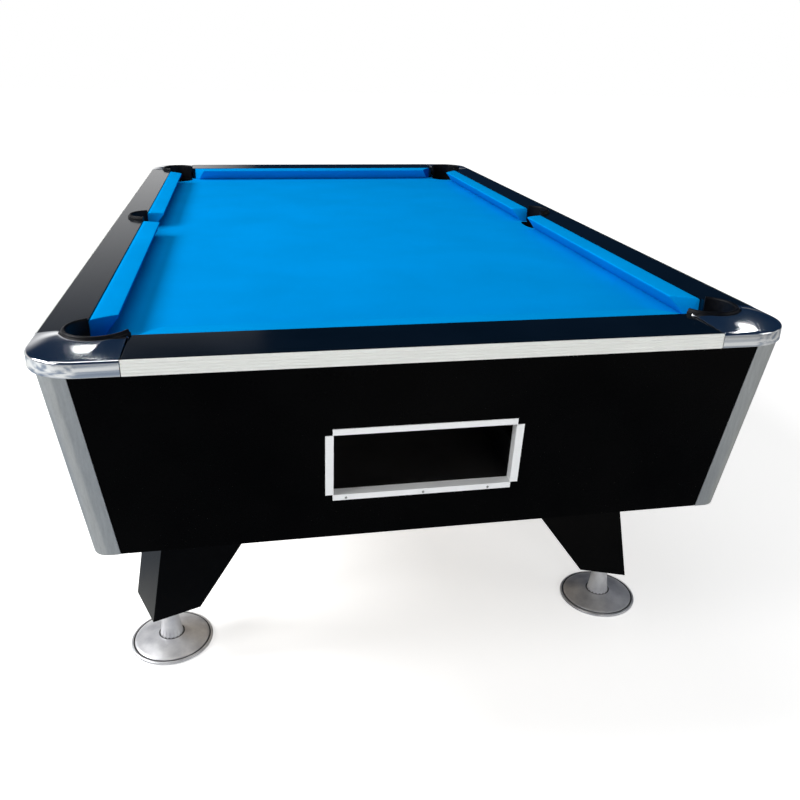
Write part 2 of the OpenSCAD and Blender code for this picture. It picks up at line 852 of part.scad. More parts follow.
// Chute from the front right pocket to the trap, held on the bearer
module near_chute() {
    low = pin_z + 3 * shaft_r;
    y0 = -gutter_end;
    y1 = trap_y[0] - gutter_w;
    face = -bearer_y[2] - bearer_w / 2;
    color(moulded) {
        translate([gutter_in, y1, low]) mirror([0, 1, 0]) trough(y1 - y0, fall_right);
        span([gutter_in, y0 - gutter_t, low + fall_right - gutter_t - over],
             [gutter_x, y0 + over, low + fall_right + gutter_wall + over]);
        for (x = [gutter_in, gutter_x - gutter_t])
            span([x, y1 - over, low + gutter_wall / 2], [x + gutter_t, face, z_bearer_low + gutter_wall / 2]);
    }
}

// Fixed walls round the trap: a full outer wall, a raised inner rail and two bearing plates
module trap_channel() {
    wall_top = trap_z + trap_wall;
    rail_low = trap_z + trap_rail;
    plate_low = hinge_z - 2 * barrel_r;
    color(moulded) difference() {
        union() {
            span([gutter_x - gutter_t, trap_y[0], plate_low], [gutter_x, trap_y[1] - seat, wall_top]);
            span([gutter_in, trap_y[0], rail_low], [gutter_in + gutter_t, trap_y[1] - seat, wall_top]);
            span([gutter_in, trap_y[0] - gutter_t, rail_low], [gutter_x, trap_y[0], wall_top]);
            for (y = [trap_y[0] - gutter_t, trap_y[1] - gutter_t - seat])
                span([shaft_x - 2 * barrel_r, y, plate_low], [gutter_x, y + gutter_t, trap_z - seat]);
            span([shaft_x + barrel_r, trap_y[0] - gutter_t, plate_low], [gutter_x, trap_y[0], wall_top]);
            for (y = [bearer_y[0], bearer_y[1]])
                mirror([1, 0, 0]) hanger(-y, trap_z);
        }
        for (y = [trap_y[0], trap_y[1]])
            translate([shaft_x, y, hinge_z]) rotate([90, 0, 0])
                cylinder(h = 4 * gutter_t, r = shaft_r + shaft_gap, center = true);
    }
}

// Flap on which the balls wait, with its barrel round the shaft
module trap_flap() {
    y0 = trap_y[0] + over;
    y1 = trap_y[1] - gutter_t - seat - over;
    color(steel) {
        span([gutter_in + over, y0, trap_z - flap_t], [shaft_x, y1, trap_z]);
        difference() {
            union() {
                translate([shaft_x, y1, hinge_z]) rotate([90, 0, 0]) cylinder(h = y1 - y0, r = barrel_r);
                span([shaft_x - barrel_r, y0, hinge_z], [shaft_x, y1, trap_z - flap_t / 2]);
            }
            translate([shaft_x, y1 + over, hinge_z]) rotate([90, 0, 0])
                cylinder(h = y1 - y0 + 2 * over, r = shaft_r);
        }
    }
}

// Shaft of the trap with its crank, slotted for the push rod's pin
module trap_crank() {
    lean = trap_drop / 2;
    slot = pin_r + pin_gap;
    low = pin_h - pin_r - over;
    high = pin_h / cos(lean) + pin_r + over;
    arm = slot + crank_wall;
    color(steel) {
        translate([shaft_x, trap_y[1] + over, hinge_z]) rotate([90, 0, 0])
            cylinder(h = trap_y[1] - crank_y + crank_t / 2 + over, r = shaft_r);
        translate([shaft_x, crank_y + crank_t / 2, hinge_z]) rotate([90, 0, 0]) rotate([0, 0, -lean])
            linear_extrude(crank_t) difference() {
                union() {
                    circle(barrel_r + crank_wall / 2);
                    translate([-arm, 0]) square([2 * arm, high]);
                    translate([0, high]) circle(arm);
                }
                translate([-slot, low]) square([2 * slot, high - low]);
                translate([0, low]) circle(slot);
                translate([0, high]) circle(slot);
            }
    }
}

// Board on the tray's slope over a rectangle, drawn as one skewed slab
module sloped_slab(x0, x1, y0, y1, lift, t) {
    side = x0 >= tray_w / 2 ? chute_slope : 0;
    multmatrix([
        [1, 0, 0, 0], [0, 1, 0, 0],
        [side, tray_slope, 1, tray_z + tray_slope * tray_front - side * tray_w / 2 + lift]
    ]) translate([x0, y0, 0]) cube([x1 - x0, y1 - y0, t]);
}

// Chute under the trap that leads the balls sideways to the tray
module trap_chute() {
    x0 = tray_w / 2 + seat;
    x1 = gutter_x - gutter_t;
    y0 = trap_y[0] - gutter_t;
    y1 = trap_y[1] + gutter_w;
    color(timber) {
        sloped_slab(x0, x1, y0, y1, -tray_t, tray_t);
        sloped_slab(x0, gutter_in - gutter_w, y0, y0 + tray_t, -tray_t / 2, chute_wall + tray_t / 2);
        sloped_slab(x0, x1, y1 - tray_t, y1, -tray_t / 2, chute_wall + tray_t / 2);
        for (y = [y0 + gutter_w, y1 - gutter_w])
            intersection() {
                sloped_slab(x0, x1, y, y + tray_t, -tray_z / 2, tray_z / 2 - tray_t + over);
                span([x0, y, z_cabinet + floor_t + seat], [x1, y + tray_t, z_rail]);
            }
    }
}

// Tray that brings the balls to the window
module ball_tray() {
    x1 = tray_w / 2;
    y0 = -tray_front;
    y1 = trap_y[1] + gutter_w;
    chute_y = trap_y[0] - gutter_t;
    color(moulded) {
        sloped_slab(-x1, x1, y0, y1, -tray_t, tray_t);
        sloped_slab(-x1, -x1 + tray_t, y0, y1, -tray_t / 2, tray_wall + tray_t / 2);
        sloped_slab(-x1, x1, y1 - tray_t, y1, -tray_t / 2, tray_wall + tray_t / 2);
        sloped_slab(x1 - tray_t, x1, y0, chute_y, -tray_t / 2, tray_wall + tray_t / 2);
        for (y = [y0 + gutter_w, y1 - gutter_w])
            intersection() {
                sloped_slab(-x1, x1, y, y + tray_t, -tray_z / 2, tray_z / 2 - tray_t + over);
                span([-x1, y, z_cabinet + floor_t + seat], [x1, y + tray_t, z_rail]);
            }
    }
}

// Housing of the coin slide: its face plate on the board and a funnel over the cash box
module coin_mech() {
    half = coin_w / 2;
    funnel_x = housing_x + 2 * funnel_t;
    funnel_y = slide_w / 2 - 2 * funnel_t;
    color(chrome) difference() {
        union() {
            intersection() {
                span([housing_x, coin_y - half, coin_z - coin_h / 2],
                     [table_width, coin_y + half, coin_z + coin_h / 2]);
                tapered(-over, z_cabinet, z_cabinet_top);
            }
            on_right_board(coin_y)
                span([0, -half - plate_rim, coin_up - coin_h / 2 - plate_rim],
                     [plate_t, half + plate_rim, coin_up + coin_h / 2 + plate_rim]);
            span([funnel_x, coin_y - funnel_y, coin_z - coin_h / 2 - funnel_h],
                 [funnel_x + funnel_w, coin_y + funnel_y, coin_z - coin_h / 2]);
        }
        span([0, coin_y - slide_w / 2 - slide_gap, coin_z - slide_t / 2 - slide_gap],
             [table_width, coin_y + slide_w / 2 + slide_gap, coin_z + slide_t / 2 + slide_gap]);
        span([funnel_x + funnel_t, coin_y - funnel_y + funnel_t, 0],
             [funnel_x + funnel_w - funnel_t, coin_y + funnel_y - funnel_t, coin_z]);
    }
}

module cash_box() {
    low = z_cabinet + floor_t + seat;
    x0 = gutter_in;
    x1 = half_w(low) - board_t - box_clear;
    y0 = door_y + 2 * box_clear;
    y1 = door_y + door_w - 2 * box_clear;
    t = cash_box_t;
    color(steel) difference() {
        span([x0, y0, low], [x1, y1, low + cash_box_h]);
        span([x0 + t, y0 + t, low + t], [x1 - t, y1 - t, z_rail]);
    }
}

// Cash door's frame on the board, with the end knuckles and the pin
module cash_door_frame() {
    w = door_frame_w;
    gap = door_gap;
    color(steel) on_right_board(door_y) {
        difference() {
            span([0, -w, door_up - w], [frame_t, door_w + w, door_up + door_h + w]);
            span([-over, -gap, door_up - gap], [frame_t + over, door_w + gap, door_up + door_h + gap]);
        }
        for (z = [door_up, door_up + door_h * (1 - knuckle_share)]) {
            translate([knuckle_x, -knuckle_r, z]) cylinder(h = door_h * knuckle_share, r = knuckle_r);
            span([frame_t - over / 2, -2 * knuckle_r, z], [knuckle_x, -knuckle_r, z + door_h * knuckle_share]);
        }
        translate([knuckle_x, -knuckle_r, door_up + over]) cylinder(h = door_h - 2 * over, r = hinge_pin_r);
    }
}

// Cash door: its leaf, and the long knuckle that wraps the pin
module cash_door() {
    low = door_up + door_h * knuckle_share + door_gap;
    high = door_up + door_h * (1 - knuckle_share) - door_gap;
    color(steel) on_right_board(door_y) difference() {
        union() {
            span([door_gap, 0, door_up], [door_gap + door_t, door_w, door_up + door_h]);
            translate([knuckle_x, -knuckle_r, low]) cylinder(h = high - low, r = knuckle_r);
            span([door_gap + door_t - over, 0, low], [knuckle_x + knuckle_r, 2 * over, high]);
            span([knuckle_x, -knuckle_r, low], [knuckle_x + knuckle_r, 2 * over, high]);
        }
        translate([knuckle_x, -knuckle_r, 0]) cylinder(h = 2 * door_h, r = hinge_pin_r + shaft_gap);
        at_lock() translate([-2 * door_t, 0, 0]) rotate([0, 90, 0])
            cylinder(h = 4 * door_t, r = lock_r + shaft_gap);
    }
}

// Places what is drawn round the lock's axis, with x outward
module at_lock() { translate([0, door_w - lock_in, door_up + door_h / 2]) children(); }

// Cam lock: its cam stands upright when unlocked
module cash_lock() {
    face = door_gap + door_t + shaft_gap;
    color(chrome) on_right_board(door_y) at_lock() difference() {
        union() {
            translate([-lock_deep, 0, 0]) rotate([0, 90, 0]) cylinder(h = lock_deep + face, r = lock_r);
            translate([face, 0, 0]) rotate([0, 90, 0]) cylinder(h = lock_head, r = lock_r + lock_head);
            translate([-lock_deep, -cam_w / 2, -lock_r]) cube([cam_t, cam_w, lock_r + cam_reach]);
        }
        translate([face + lock_head / 3, -key_t / 2, -lock_r / 2]) cube([lock_head, key_t, lock_r]);
    }
}

// Coin slide: a flat bar with upright coin slots and a grip
module coin_slide() {
    half = slide_w / 2;
    color(chrome) difference() {
        union() {
            span([slide_x[0], coin_y - half, coin_z - slide_t / 2],
                 [slide_x[1] - grip_t + over, coin_y + half, coin_z + slide_t / 2]);
            span([slide_x[1] - grip_t, coin_y - half, coin_z - grip_h / 2],
                 [slide_x[1], coin_y + half, coin_z + grip_h / 2]);
        }
        for (s = [-1, 1])
            translate([slide_x[1] - 4 * grip_t, coin_y + s * slot_pitch / 2, coin_z])
                cube([coin_slot[0], coin_slot[1], 4 * slide_t], center = true);
    }
}

// Push rod from the slide to the crank: a flat bar, an upright and the pin
module push_rod() {
    x1 = slide_x[0];
    x0 = x1 - rod_w;
    y1 = crank_y - crank_t / 2 - over;
    low = coin_z - rod_t / 2;
    color(steel) {
        span([x0, coin_y - slide_w / 6, low], [x1, y1, low + rod_t]);
        span([x0, y1 - rod_t, low], [pin_x + 2 * pin_r, y1, low + rod_w]);
        span([pin_x - 2 * pin_r, y1 - rod_t, low], [pin_x + 2 * pin_r, y1, pin_z + 2 * pin_r]);
        translate([pin_x, y1 - over, pin_z]) rotate([-90, 0, 0]) cylinder(h = crank_t + 2 * over, r = pin_r);
    }
}

// Puts what is drawn from a leg's outer front bottom edge in its place
module leg_place() {
    translate([-foot_x, -foot_y, 0]) rotate([0, 0, leg_turn])
        translate([-leg_w / 2, -leg_depth / 2, 0]) children();
}

module leg_bolt_places() {
    ends = [leg_flare + bolt_edges[0], leg_w + leg_slant - bolt_edges[1]];
    for (u = ends, v = [leg_depth / 4, leg_depth * 3 / 4])
        leg_place() translate([u, v, z_cabinet]) children();
}

module bolt_hole() {
    translate([0, 0, -bolt_in - over]) cylinder(h = bolt_in + floor_t + 2 * over, r = bolt_r + 2 * shaft_gap);
}

// Leg: a slanting prism with a socket for the foot's stem
module leg(name) {
    h = z_cabinet - leg_z;
    top = leg_w + leg_slant;
    color(laminate) at_corner(name) difference() {
        leg_place() translate([0, leg_depth, leg_z]) rotate([90, 0, 0])
            linear_extrude(leg_depth)
                polygon([[0, 0], [leg_w, 0], [top, h], [leg_flare, h]]);
        translate([-foot_x, -foot_y, leg_z - over])
            cylinder(h = stem_in + foot_up + 6 * over, r = stem_d / 2 + 2 * shaft_gap);
        leg_bolt_places() bolt_hole();
    }
}

module leg_bolts() {
    color(steel) for (c = CORNERS) at_corner(c) leg_bolt_places() {
        translate([0, 0, -bolt_in]) cylinder(h = bolt_in + floor_t, r = bolt_r);
        translate([0, 0, floor_t]) cylinder(h = bolt_r + over, r = 2 * bolt_r, $fn = 6);
    }
}

// Levelling foot: a disc with a rolled rim, a low cone, a hub and a flared stem
module foot(name) {
    r = foot_d / 2;
    edge = foot_rim / 2;
    hub = stem_base_d / 2;
    flare = leg_z - foot_hub_h - stem_neck;
    cone = r - 2 * foot_rim;
    shoulder = foot_hub_h - hub_step;
    bend = stem_flare_r(flare);
    color(chrome) at_corner(name) translate([-foot_x, -foot_y, 0]) rotate_extrude() {
        difference() {
            union() {
                square([r - edge, foot_rim]);
                translate([r - edge, edge]) circle(edge);
                polygon([[0, foot_rim - over], [cone, foot_rim - over], [cone, foot_rim + over],
                         [hub + 1.5 * hub_step, shoulder], [0, shoulder]]);
                translate([0, shoulder - over]) square([hub + hub_step / 2, hub_step + over]);
            }
            translate([r - 1.5 * foot_rim, foot_rim]) circle(foot_rim / 6);
            translate([-2 * r, -r]) square([2 * r, 3 * r]);
            translate([-r, -over - r]) square([3 * r, r + over]);
        }
        difference() {
            translate([0, foot_hub_h]) square([hub, flare]);
            translate([hub + bend, foot_hub_h + flare]) circle(bend + hub - stem_d / 2);
        }
        translate([0, foot_hub_h]) square([stem_d / 2, leg_z + stem_in - foot_hub_h]);
    }
}

// Radius of the arc that brings a stem from its base width to its own width over a height
function stem_flare_r(h) =
    let (step = (stem_base_d - stem_d) / 2) (pow(h, 2) + pow(step, 2)) / (2 * step) - step;

front_board();
rear_board();
left_board();
right_board();
cabinet_floor();
for (c = CORNERS) corner_post(c);
slate_bearers();
slate();
bed_cloth();
for (e = ENDS) rail_end(e);
for (s = SIDES) rail_side(s);
for (e = ENDS) edge_trim_end(e);
for (s = SIDES) edge_trim_side(s);
for (c = CORNERS) corner_casting(c);
for (c = CORNERS) corner_pocket(c);
side_pocket_liners();
for (e = ENDS) cushion_end(e);
for (c = CORNERS) cushion_side(c);
window_trim();
gutter_left();
gutter_right();
near_chute();
trap_channel();
trap_chute();
ball_tray();
coin_mech();
cash_box();
cash_door_frame();
for (c = CORNERS) leg(c);
leg_bolts();
coin_slide();
push_rod();
trap_flap();
trap_crank();
cash_door();
cash_lock();
for (c = CORNERS) foot(c);
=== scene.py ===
"""Looks of a coin-operated pool table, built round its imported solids.

Every length is in metres, in the frame of the solids: X across the table, Y away from the ball window, Z up.
"""
from __future__ import annotations

import logging
import math
from dataclasses import dataclass
from enum import Enum
from typing import Any, Callable, Iterable, Sequence

import bmesh
import bpy
from mathutils import Matrix, Vector


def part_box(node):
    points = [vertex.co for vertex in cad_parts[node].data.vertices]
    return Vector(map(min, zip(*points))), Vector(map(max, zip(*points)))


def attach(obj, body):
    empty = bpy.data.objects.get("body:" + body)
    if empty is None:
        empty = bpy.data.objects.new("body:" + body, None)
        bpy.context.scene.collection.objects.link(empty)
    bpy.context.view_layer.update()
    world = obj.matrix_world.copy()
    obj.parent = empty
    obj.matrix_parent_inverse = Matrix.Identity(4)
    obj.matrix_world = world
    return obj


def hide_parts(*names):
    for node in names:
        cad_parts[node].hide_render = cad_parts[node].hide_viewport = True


LOG = logging.getLogger("pool_table")
MERGE_DISTANCE = 1e-6
EDGE_FACETS = 2
COPLANAR = math.radians(0.4)

Socket = bpy.types.NodeSocket
Outputs = bpy.types.bpy_prop_collection
Mesh = bmesh.types.BMesh
Vert = bmesh.types.BMVert
Edge = bmesh.types.BMEdge
Face = bmesh.types.BMFace
Colour = tuple[float, float, float]
Pair = tuple[float, float]

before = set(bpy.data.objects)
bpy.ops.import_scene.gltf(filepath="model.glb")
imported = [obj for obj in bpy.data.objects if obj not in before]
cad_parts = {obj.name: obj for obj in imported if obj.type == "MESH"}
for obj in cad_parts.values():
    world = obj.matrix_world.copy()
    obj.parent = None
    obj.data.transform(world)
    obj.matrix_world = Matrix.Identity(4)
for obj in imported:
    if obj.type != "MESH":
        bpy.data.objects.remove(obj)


class Corner(Enum):
    """The four corners, each with its signs across and along the table."""

    FRONT_LEFT = (-1, -1)
    FRONT_RIGHT = (1, -1)
    REAR_LEFT = (-1, 1)
    REAR_RIGHT = (1, 1)

    @property
    def label(self) -> str:
        """The corner's name as the solids spell it."""
        return self.name.lower()

    @property
    def flip(self) -> tuple[float, float, float]:
        """Scale that takes what is drawn for the front left to this corner."""
        return (-self.value[0], -self.value[1], 1.0)


class Run(Enum):
    """Directions in which drawn metal or grain runs, with the stretch that makes its lines."""

    ACROSS = (0.02, 1.0, 1.0)
    ALONG = (1.0, 0.02, 1.0)
    UPRIGHT = (1.0, 1.0, 0.02)


@dataclass(frozen=True)
class TableLines:
    """Main lines of the table, as its solids have them."""

    half_width: float = 0.675
    half_length: float = 1.225
    rail_top: float = 0.826
    trim_low: float = 0.799
    cloth: float = 0.784
    rail_x: float = 0.598
    rail_y: float = 1.098
    nose_height: float = 0.0363
    pocket_x: float = 0.570
    pocket_y: float = 1.073
    side_pocket_x: float = 0.583
    cabinet_low: float = 0.433
    board_foot_x: float = 0.612
    board_foot_y: float = 1.162
    taper: float = math.atan(41 / 366)

    def on_front_board(self, x: float, up: float, out: float) -> Vector:
        """Gives the point of the front board at x, this far up its slope and out from its face."""
        turn = Matrix.Rotation(self.taper, 3, "X")
        return Vector((0, -self.board_foot_y, self.cabinet_low)) + turn @ Vector((x, -out, up))

    def on_right_board(self, y: float, up: float, out: float) -> Vector:
        """Gives the point of the right board at y, this far up its slope and out from its face."""
        turn = Matrix.Rotation(self.taper, 3, "Y")
        return Vector((self.board_foot_x, 0, self.cabinet_low)) + turn @ Vector((out, y, up))


LINES = TableLines()


@dataclass
class Graph:
    """A node tree that is filled one node at a time."""

    tree: bpy.types.NodeTree

    def feed(self, entry: Socket, value: Any) -> None:
        """Links a socket to an input, or sets the input's value.

        Args:
            entry: The input.
            value: A value or a socket.
        """
        if isinstance(value, Socket):
            self.tree.links.new(value, entry)
        else:
            entry.default_value = value

    def add(self, kind: str, inputs: dict[str | int, Any] | None = None, **settings: Any) -> bpy.types.Node:
        """Adds a node.

        Args:
            kind: The node's type.
            inputs: Values or sockets for its inputs, by name or place.
            **settings: Properties of the node.

        Returns:
            The new node.
        """
        node = self.tree.nodes.new(kind)
        for key, value in settings.items():
            setattr(node, key, value)
        for key, value in (inputs or {}).items():
            self.feed(node.inputs[key], value)
        return node

    def noise(self, vector: Socket, scale: Any, detail: float, rough: float = 0.5) -> Socket:
        """Adds a noise pattern with so many octaves, and gives its value."""
        inputs = {"Vector": vector, "Scale": scale, "Detail": detail, "Roughness": rough}
        return self.add("ShaderNodeTexNoise", inputs).outputs["Fac"]

    def math(self, operation: str, first: Any, second: Any = 0.0) -> Socket:
        """Adds one step of arithmetic and gives its result."""
        return self.add("ShaderNodeMath", {0: first, 1: second}, operation=operation).outputs[0]

    def weighed(self, first: Socket, first_share: float, second: Socket, second_share: float) -> Socket:
        """Adds two values, each multiplied by its share."""
        return self.math("ADD", self.math("MULTIPLY", first, first_share),
                         self.math("MULTIPLY", second, second_share))

    def vector(self, operation: str, first: Any, second: Any = (0.0, 0.0, 0.0)) -> bpy.types.Node:
        """Adds one step of vector arithmetic and gives its node, with the outputs Vector and Value."""
        return self.add("ShaderNodeVectorMath", {0: first, 1: second}, operation=operation)

    def split(self, vector: Socket) -> Outputs:
        """Splits a vector into the outputs X, Y and Z."""
        return self.add("ShaderNodeSeparateXYZ", {0: vector}).outputs

    def ranged(self, value: Socket, low: float, high: float, span: Pair = (0.0, 1.0)) -> Socket:
        """Maps the part of a value within the span to the range from low to high."""
        inputs = {"Value": value, "From Min": span[0], "From Max": span[1], "To Min": low, "To Max": high}
        return self.add("ShaderNodeMapRange", inputs).outputs["Result"]

    def tinted(self, mask: Socket, dark: Any, light: Any) -> Socket:
        """Mixes two colours by a mask, which is 0 where it is dark and 1 where it is light."""
        dark, light = (c if isinstance(c, Socket) else (*c, 1.0) for c in (dark, light))
        return self.add("ShaderNodeMix", {0: mask, 6: dark, 7: light}, data_type="RGBA").outputs[2]

    def bumped(self, height: Socket, strength: float, depth: float) -> Socket:
        """Turns a height from 0 to 1 into a normal, with a relief of this depth in metres."""
        inputs = {"Height": height, "Strength": strength, "Distance": depth}
        return self.add("ShaderNodeBump", inputs).outputs["Normal"]


PATTERN_OUTPUTS = ("Tone", "Rough", "Height")
Triple = tuple[Socket, Socket, Socket]


@dataclass
class PatternGraph(Graph):
    """The inside of a pattern's group, with the place where it is read and its scale."""

    place: Socket
    scale: Socket

    def octaves(self, times: float, detail: float, rough: float = 0.5) -> Socket:
        """Adds a noise pattern at a multiple of the scale."""
        scale = self.scale if times == 1.0 else self.math("MULTIPLY", self.scale, times)
        return self.noise(self.place, scale, detail, rough)

    def marks(self) -> Triple:
        """Draws soft unevenness with fine marks from handling.

        Returns:
            Tone, roughness and height.
        """
        cloud, fine = self.octaves(1.0, 4.0), self.octaves(14.0, 3.0, 0.6)
        both = self.weighed(cloud, 0.6, fine, 0.4)
        return self.ranged(cloud, 0.0, 1.0, (0.3, 0.7)), self.ranged(both, 0.0, 1.0, (0.3, 0.7)), fine

    def lines(self) -> Triple:
        """Draws the fine lines of drawn or brushed metal, read where it is stretched along the lines.

        Returns:
            Tone, roughness and height.
        """
        coarse, fine = self.octaves(1.0, 2.0), self.octaves(5.0, 2.0, 0.7)
        both = self.weighed(coarse, 0.45, fine, 0.55)
        return self.ranged(both, 0.0, 1.0, (0.32, 0.68)), self.ranged(fine, 0.0, 1.0, (0.3, 0.7)), both

    def nap(self) -> Triple:
        """Draws a woven ground under a short brushed nap.

        Returns:
            Tone, roughness and height.
        """
        threads = {"Vector": self.place, "Scale": self.scale, "Distortion": 1.2, "Detail": 1.0,
                   "Detail Scale": 2.0}
        weft, warp = (self.add("ShaderNodeTexWave", threads, bands_direction=d).outputs["Fac"] for d in "XY")
        fibres, brushed = self.octaves(3.0, 3.0, 0.7), self.octaves(0.02, 3.0)
        height = self.weighed(self.math("MULTIPLY", weft, warp), 0.4, fibres, 0.6)
        tone = self.weighed(brushed, 0.6, height, 0.4)
        return self.ranged(tone, 0.0, 1.0, (0.3, 0.65)), fibres, height

    def grain(self) -> Triple:
        """Draws the grain of a sawn board, read where it is stretched along the grain.

        Returns:
            Tone, roughness and height.
        """
        rings = self.math("FRACT", self.math("MULTIPLY", self.octaves(1.0, 3.0), 9.0))
        fibre = self.octaves(22.0, 4.0, 0.7)
        return self.weighed(rings, 0.45, fibre, 0.55), fibre, self.weighed(rings, 0.3, fibre, 1.0)

    def dust(self) -> Triple:
        """Draws a film of dust that lies on what faces up.

        Returns:
            Tone, roughness and height.
        """
        patches = self.octaves(1.0, 6.0, 0.65)
        up = self.math("MAXIMUM", self.split(self.add("ShaderNodeNewGeometry").outputs["Normal"])["Z"], 0.0)
        lying = self.math("MULTIPLY", self.ranged(patches, 0.0, 1.0, (0.35, 0.8)), up)
        return lying, lying, patches


class Pattern(Enum):
    """Surface patterns that several finishes share, each a node group built once."""

    MARKS = "Surface marks"
    DRAWN = "Drawn lines"
    NAP = "Napped weave"
    GRAIN = "Timber grain"
    DUST = "Settled dust"

    def group(self) -> bpy.types.NodeTree:
        """Gives the pattern's node group, and builds it at its first use.

        Returns:
            The node group.
        """
        found = bpy.data.node_groups.get(self.value)
        if found:
            return found
        tree = bpy.data.node_groups.new(self.value, "ShaderNodeTree")
        tree.interface.new_socket(name="Vector", in_out="INPUT", socket_type="NodeSocketVector")
        scale = tree.interface.new_socket(name="Scale", in_out="INPUT", socket_type="NodeSocketFloat")
        scale.default_value = 10.0
        for name in PATTERN_OUTPUTS:
            tree.interface.new_socket(name=name, in_out="OUTPUT", socket_type="NodeSocketFloat")
        source = tree.nodes.new("NodeGroupInput").outputs
        graph = PatternGraph(tree, source["Vector"], source["Scale"])
        draw = {Pattern.MARKS: graph.marks, Pattern.DRAWN: graph.lines, Pattern.NAP: graph.nap,
                Pattern.GRAIN: graph.grain, Pattern.DUST: graph.dust}[self]
        graph.add("NodeGroupOutput", dict(zip(PATTERN_OUTPUTS, draw())))
        return tree


@dataclass
class Canvas(Graph):
    """A material's nodes, with its shader and the place where its patterns are read."""

    shader: bpy.types.Node
    place: Socket

    def pattern(self, pattern: Pattern, scale: float, place: Socket | None = None) -> Outputs:
        """Places a pattern, read where the others are or elsewhere, and gives its outputs."""
        inputs = {"Vector": self.place if place is None else place, "Scale": scale}
        return self.add("ShaderNodeGroup", inputs, node_tree=pattern.group()).outputs

    def set(self, **values: Any) -> None:
        """Sets or links inputs of the shader, by their names with _ for a space."""
        for key, value in values.items():
            self.feed(self.shader.inputs[key.replace("_", " ")], value)


@dataclass(frozen=True)
class Finish:
    """A finish: its name and the colours between which its surface varies."""

    name: str
    dark: Colour
    light: Colour
    stretch: tuple[float, float, float] = (1.0, 1.0, 1.0)

    def material(self) -> bpy.types.Material:
        """Gives the finish's material, and builds it at its first use.

        Returns:
            The material.
        """
        found = bpy.data.materials.get(self.name)
        if found:
            return found
        material = bpy.data.materials.new(self.name)
        material.use_nodes = True
        material.diffuse_color = (*self.light, 1.0)
        tree = material.node_tree
        place = Graph(tree).add("ShaderNodeTexCoord").outputs["Object"]
        stretched = Graph(tree).add("ShaderNodeMapping", {"Vector": place, "Scale": self.stretch}).outputs[0]
        self.dress(Canvas(tree, tree.nodes["Principled BSDF"], stretched))
        return material

    def dress(self, canvas: Canvas) -> None:
        """Fills the canvas; each kind of finish does it in its own way."""
        raise NotImplementedError


@dataclass(frozen=True)
class Laminate(Finish):
    """Black laminate on board, with a faint film of dust."""

    gloss: Pair = (0.22, 0.32)
    shine: float = 0.07
    film: float = 0.003
    film_tint: Colour = (0.3, 0.34, 0.38)
    mark_scale: float = 9.0
    dust_scale: float = 5.0
    relief: Pair = (0.06, 0.0004)

    def dress(self, canvas: Canvas) -> None:
        """Fills the material.

        Args:
            canvas: The material's canvas.
        """
        marks = canvas.pattern(Pattern.MARKS, self.mark_scale)
        dust = canvas.pattern(Pattern.DUST, self.dust_scale)
        tint = canvas.tinted(marks["Tone"], self.dark, self.light)
        cover = canvas.math("MULTIPLY", dust["Tone"], self.film)
        canvas.set(Specular_IOR_Level=self.shine, Base_Color=canvas.tinted(cover, tint, self.film_tint),
                   Roughness=canvas.ranged(marks["Rough"], *self.gloss),
                   Normal=canvas.bumped(marks["Height"], *self.relief))


@dataclass(frozen=True)
class Plain(Finish):
    """A finish that one pattern varies, with dust on it or none."""

    gloss: Pair = (0.4, 0.6)
    pattern: Pattern = Pattern.MARKS
    scale: float = 60.0
    shine: float = 0.5
    metal: float = 0.0
    relief: float = 0.15
    relief_output: str = "Height"
    depth: float = 0.0005
    dusty: float = 0.0
    dust_scale: float = 7.0
    dust_tint: Colour = (0.4, 0.39, 0.37)

    def dress(self, canvas: Canvas) -> None:
        """Fills the material.

        Args:
            canvas: The material's canvas.
        """
        drawn = canvas.pattern(self.pattern, self.scale)
        colour = canvas.tinted(drawn["Tone"], self.dark, self.light)
        if self.dusty:
            dust = canvas.pattern(Pattern.DUST, self.dust_scale)
            cover = canvas.math("MULTIPLY", dust["Tone"], self.dusty)
            colour = canvas.tinted(cover, colour, self.dust_tint)
        canvas.set(Metallic=self.metal, Specular_IOR_Level=self.shine, Base_Color=colour,
                   Roughness=canvas.ranged(drawn["Rough"], *self.gloss),
                   Normal=canvas.bumped(drawn[self.relief_output], self.relief, self.depth))


@dataclass(frozen=True)
class Moulding(Plain):
    """Plastic, rubber, slate, coating or plated steel with a fine even texture."""


@dataclass(frozen=True)
class DrawnMetal(Plain):
    """Aluminium with lines in one direction."""

    pattern: Pattern = Pattern.DRAWN
    scale: float = 900.0
    metal: float = 1.0
    relief: float = 0.12
    depth: float = 0.0003


@dataclass(frozen=True)
class Chrome(Plain):
    """Polished chrome with the slight unevenness of a casting."""

    gloss: Pair = (0.035, 0.08)
    scale: float = 14.0
    metal: float = 1.0
    relief: float = 0.05
    relief_output: str = "Tone"
    depth: float = 0.002


@dataclass(frozen=True)
class Board(Plain):
    """Raw plywood or softwood."""

    gloss: Pair = (0.6, 0.85)
    pattern: Pattern = Pattern.GRAIN
    scale: float = 14.0
    shine: float = 0.3
    relief: float = 0.25
    depth: float = 0.0006


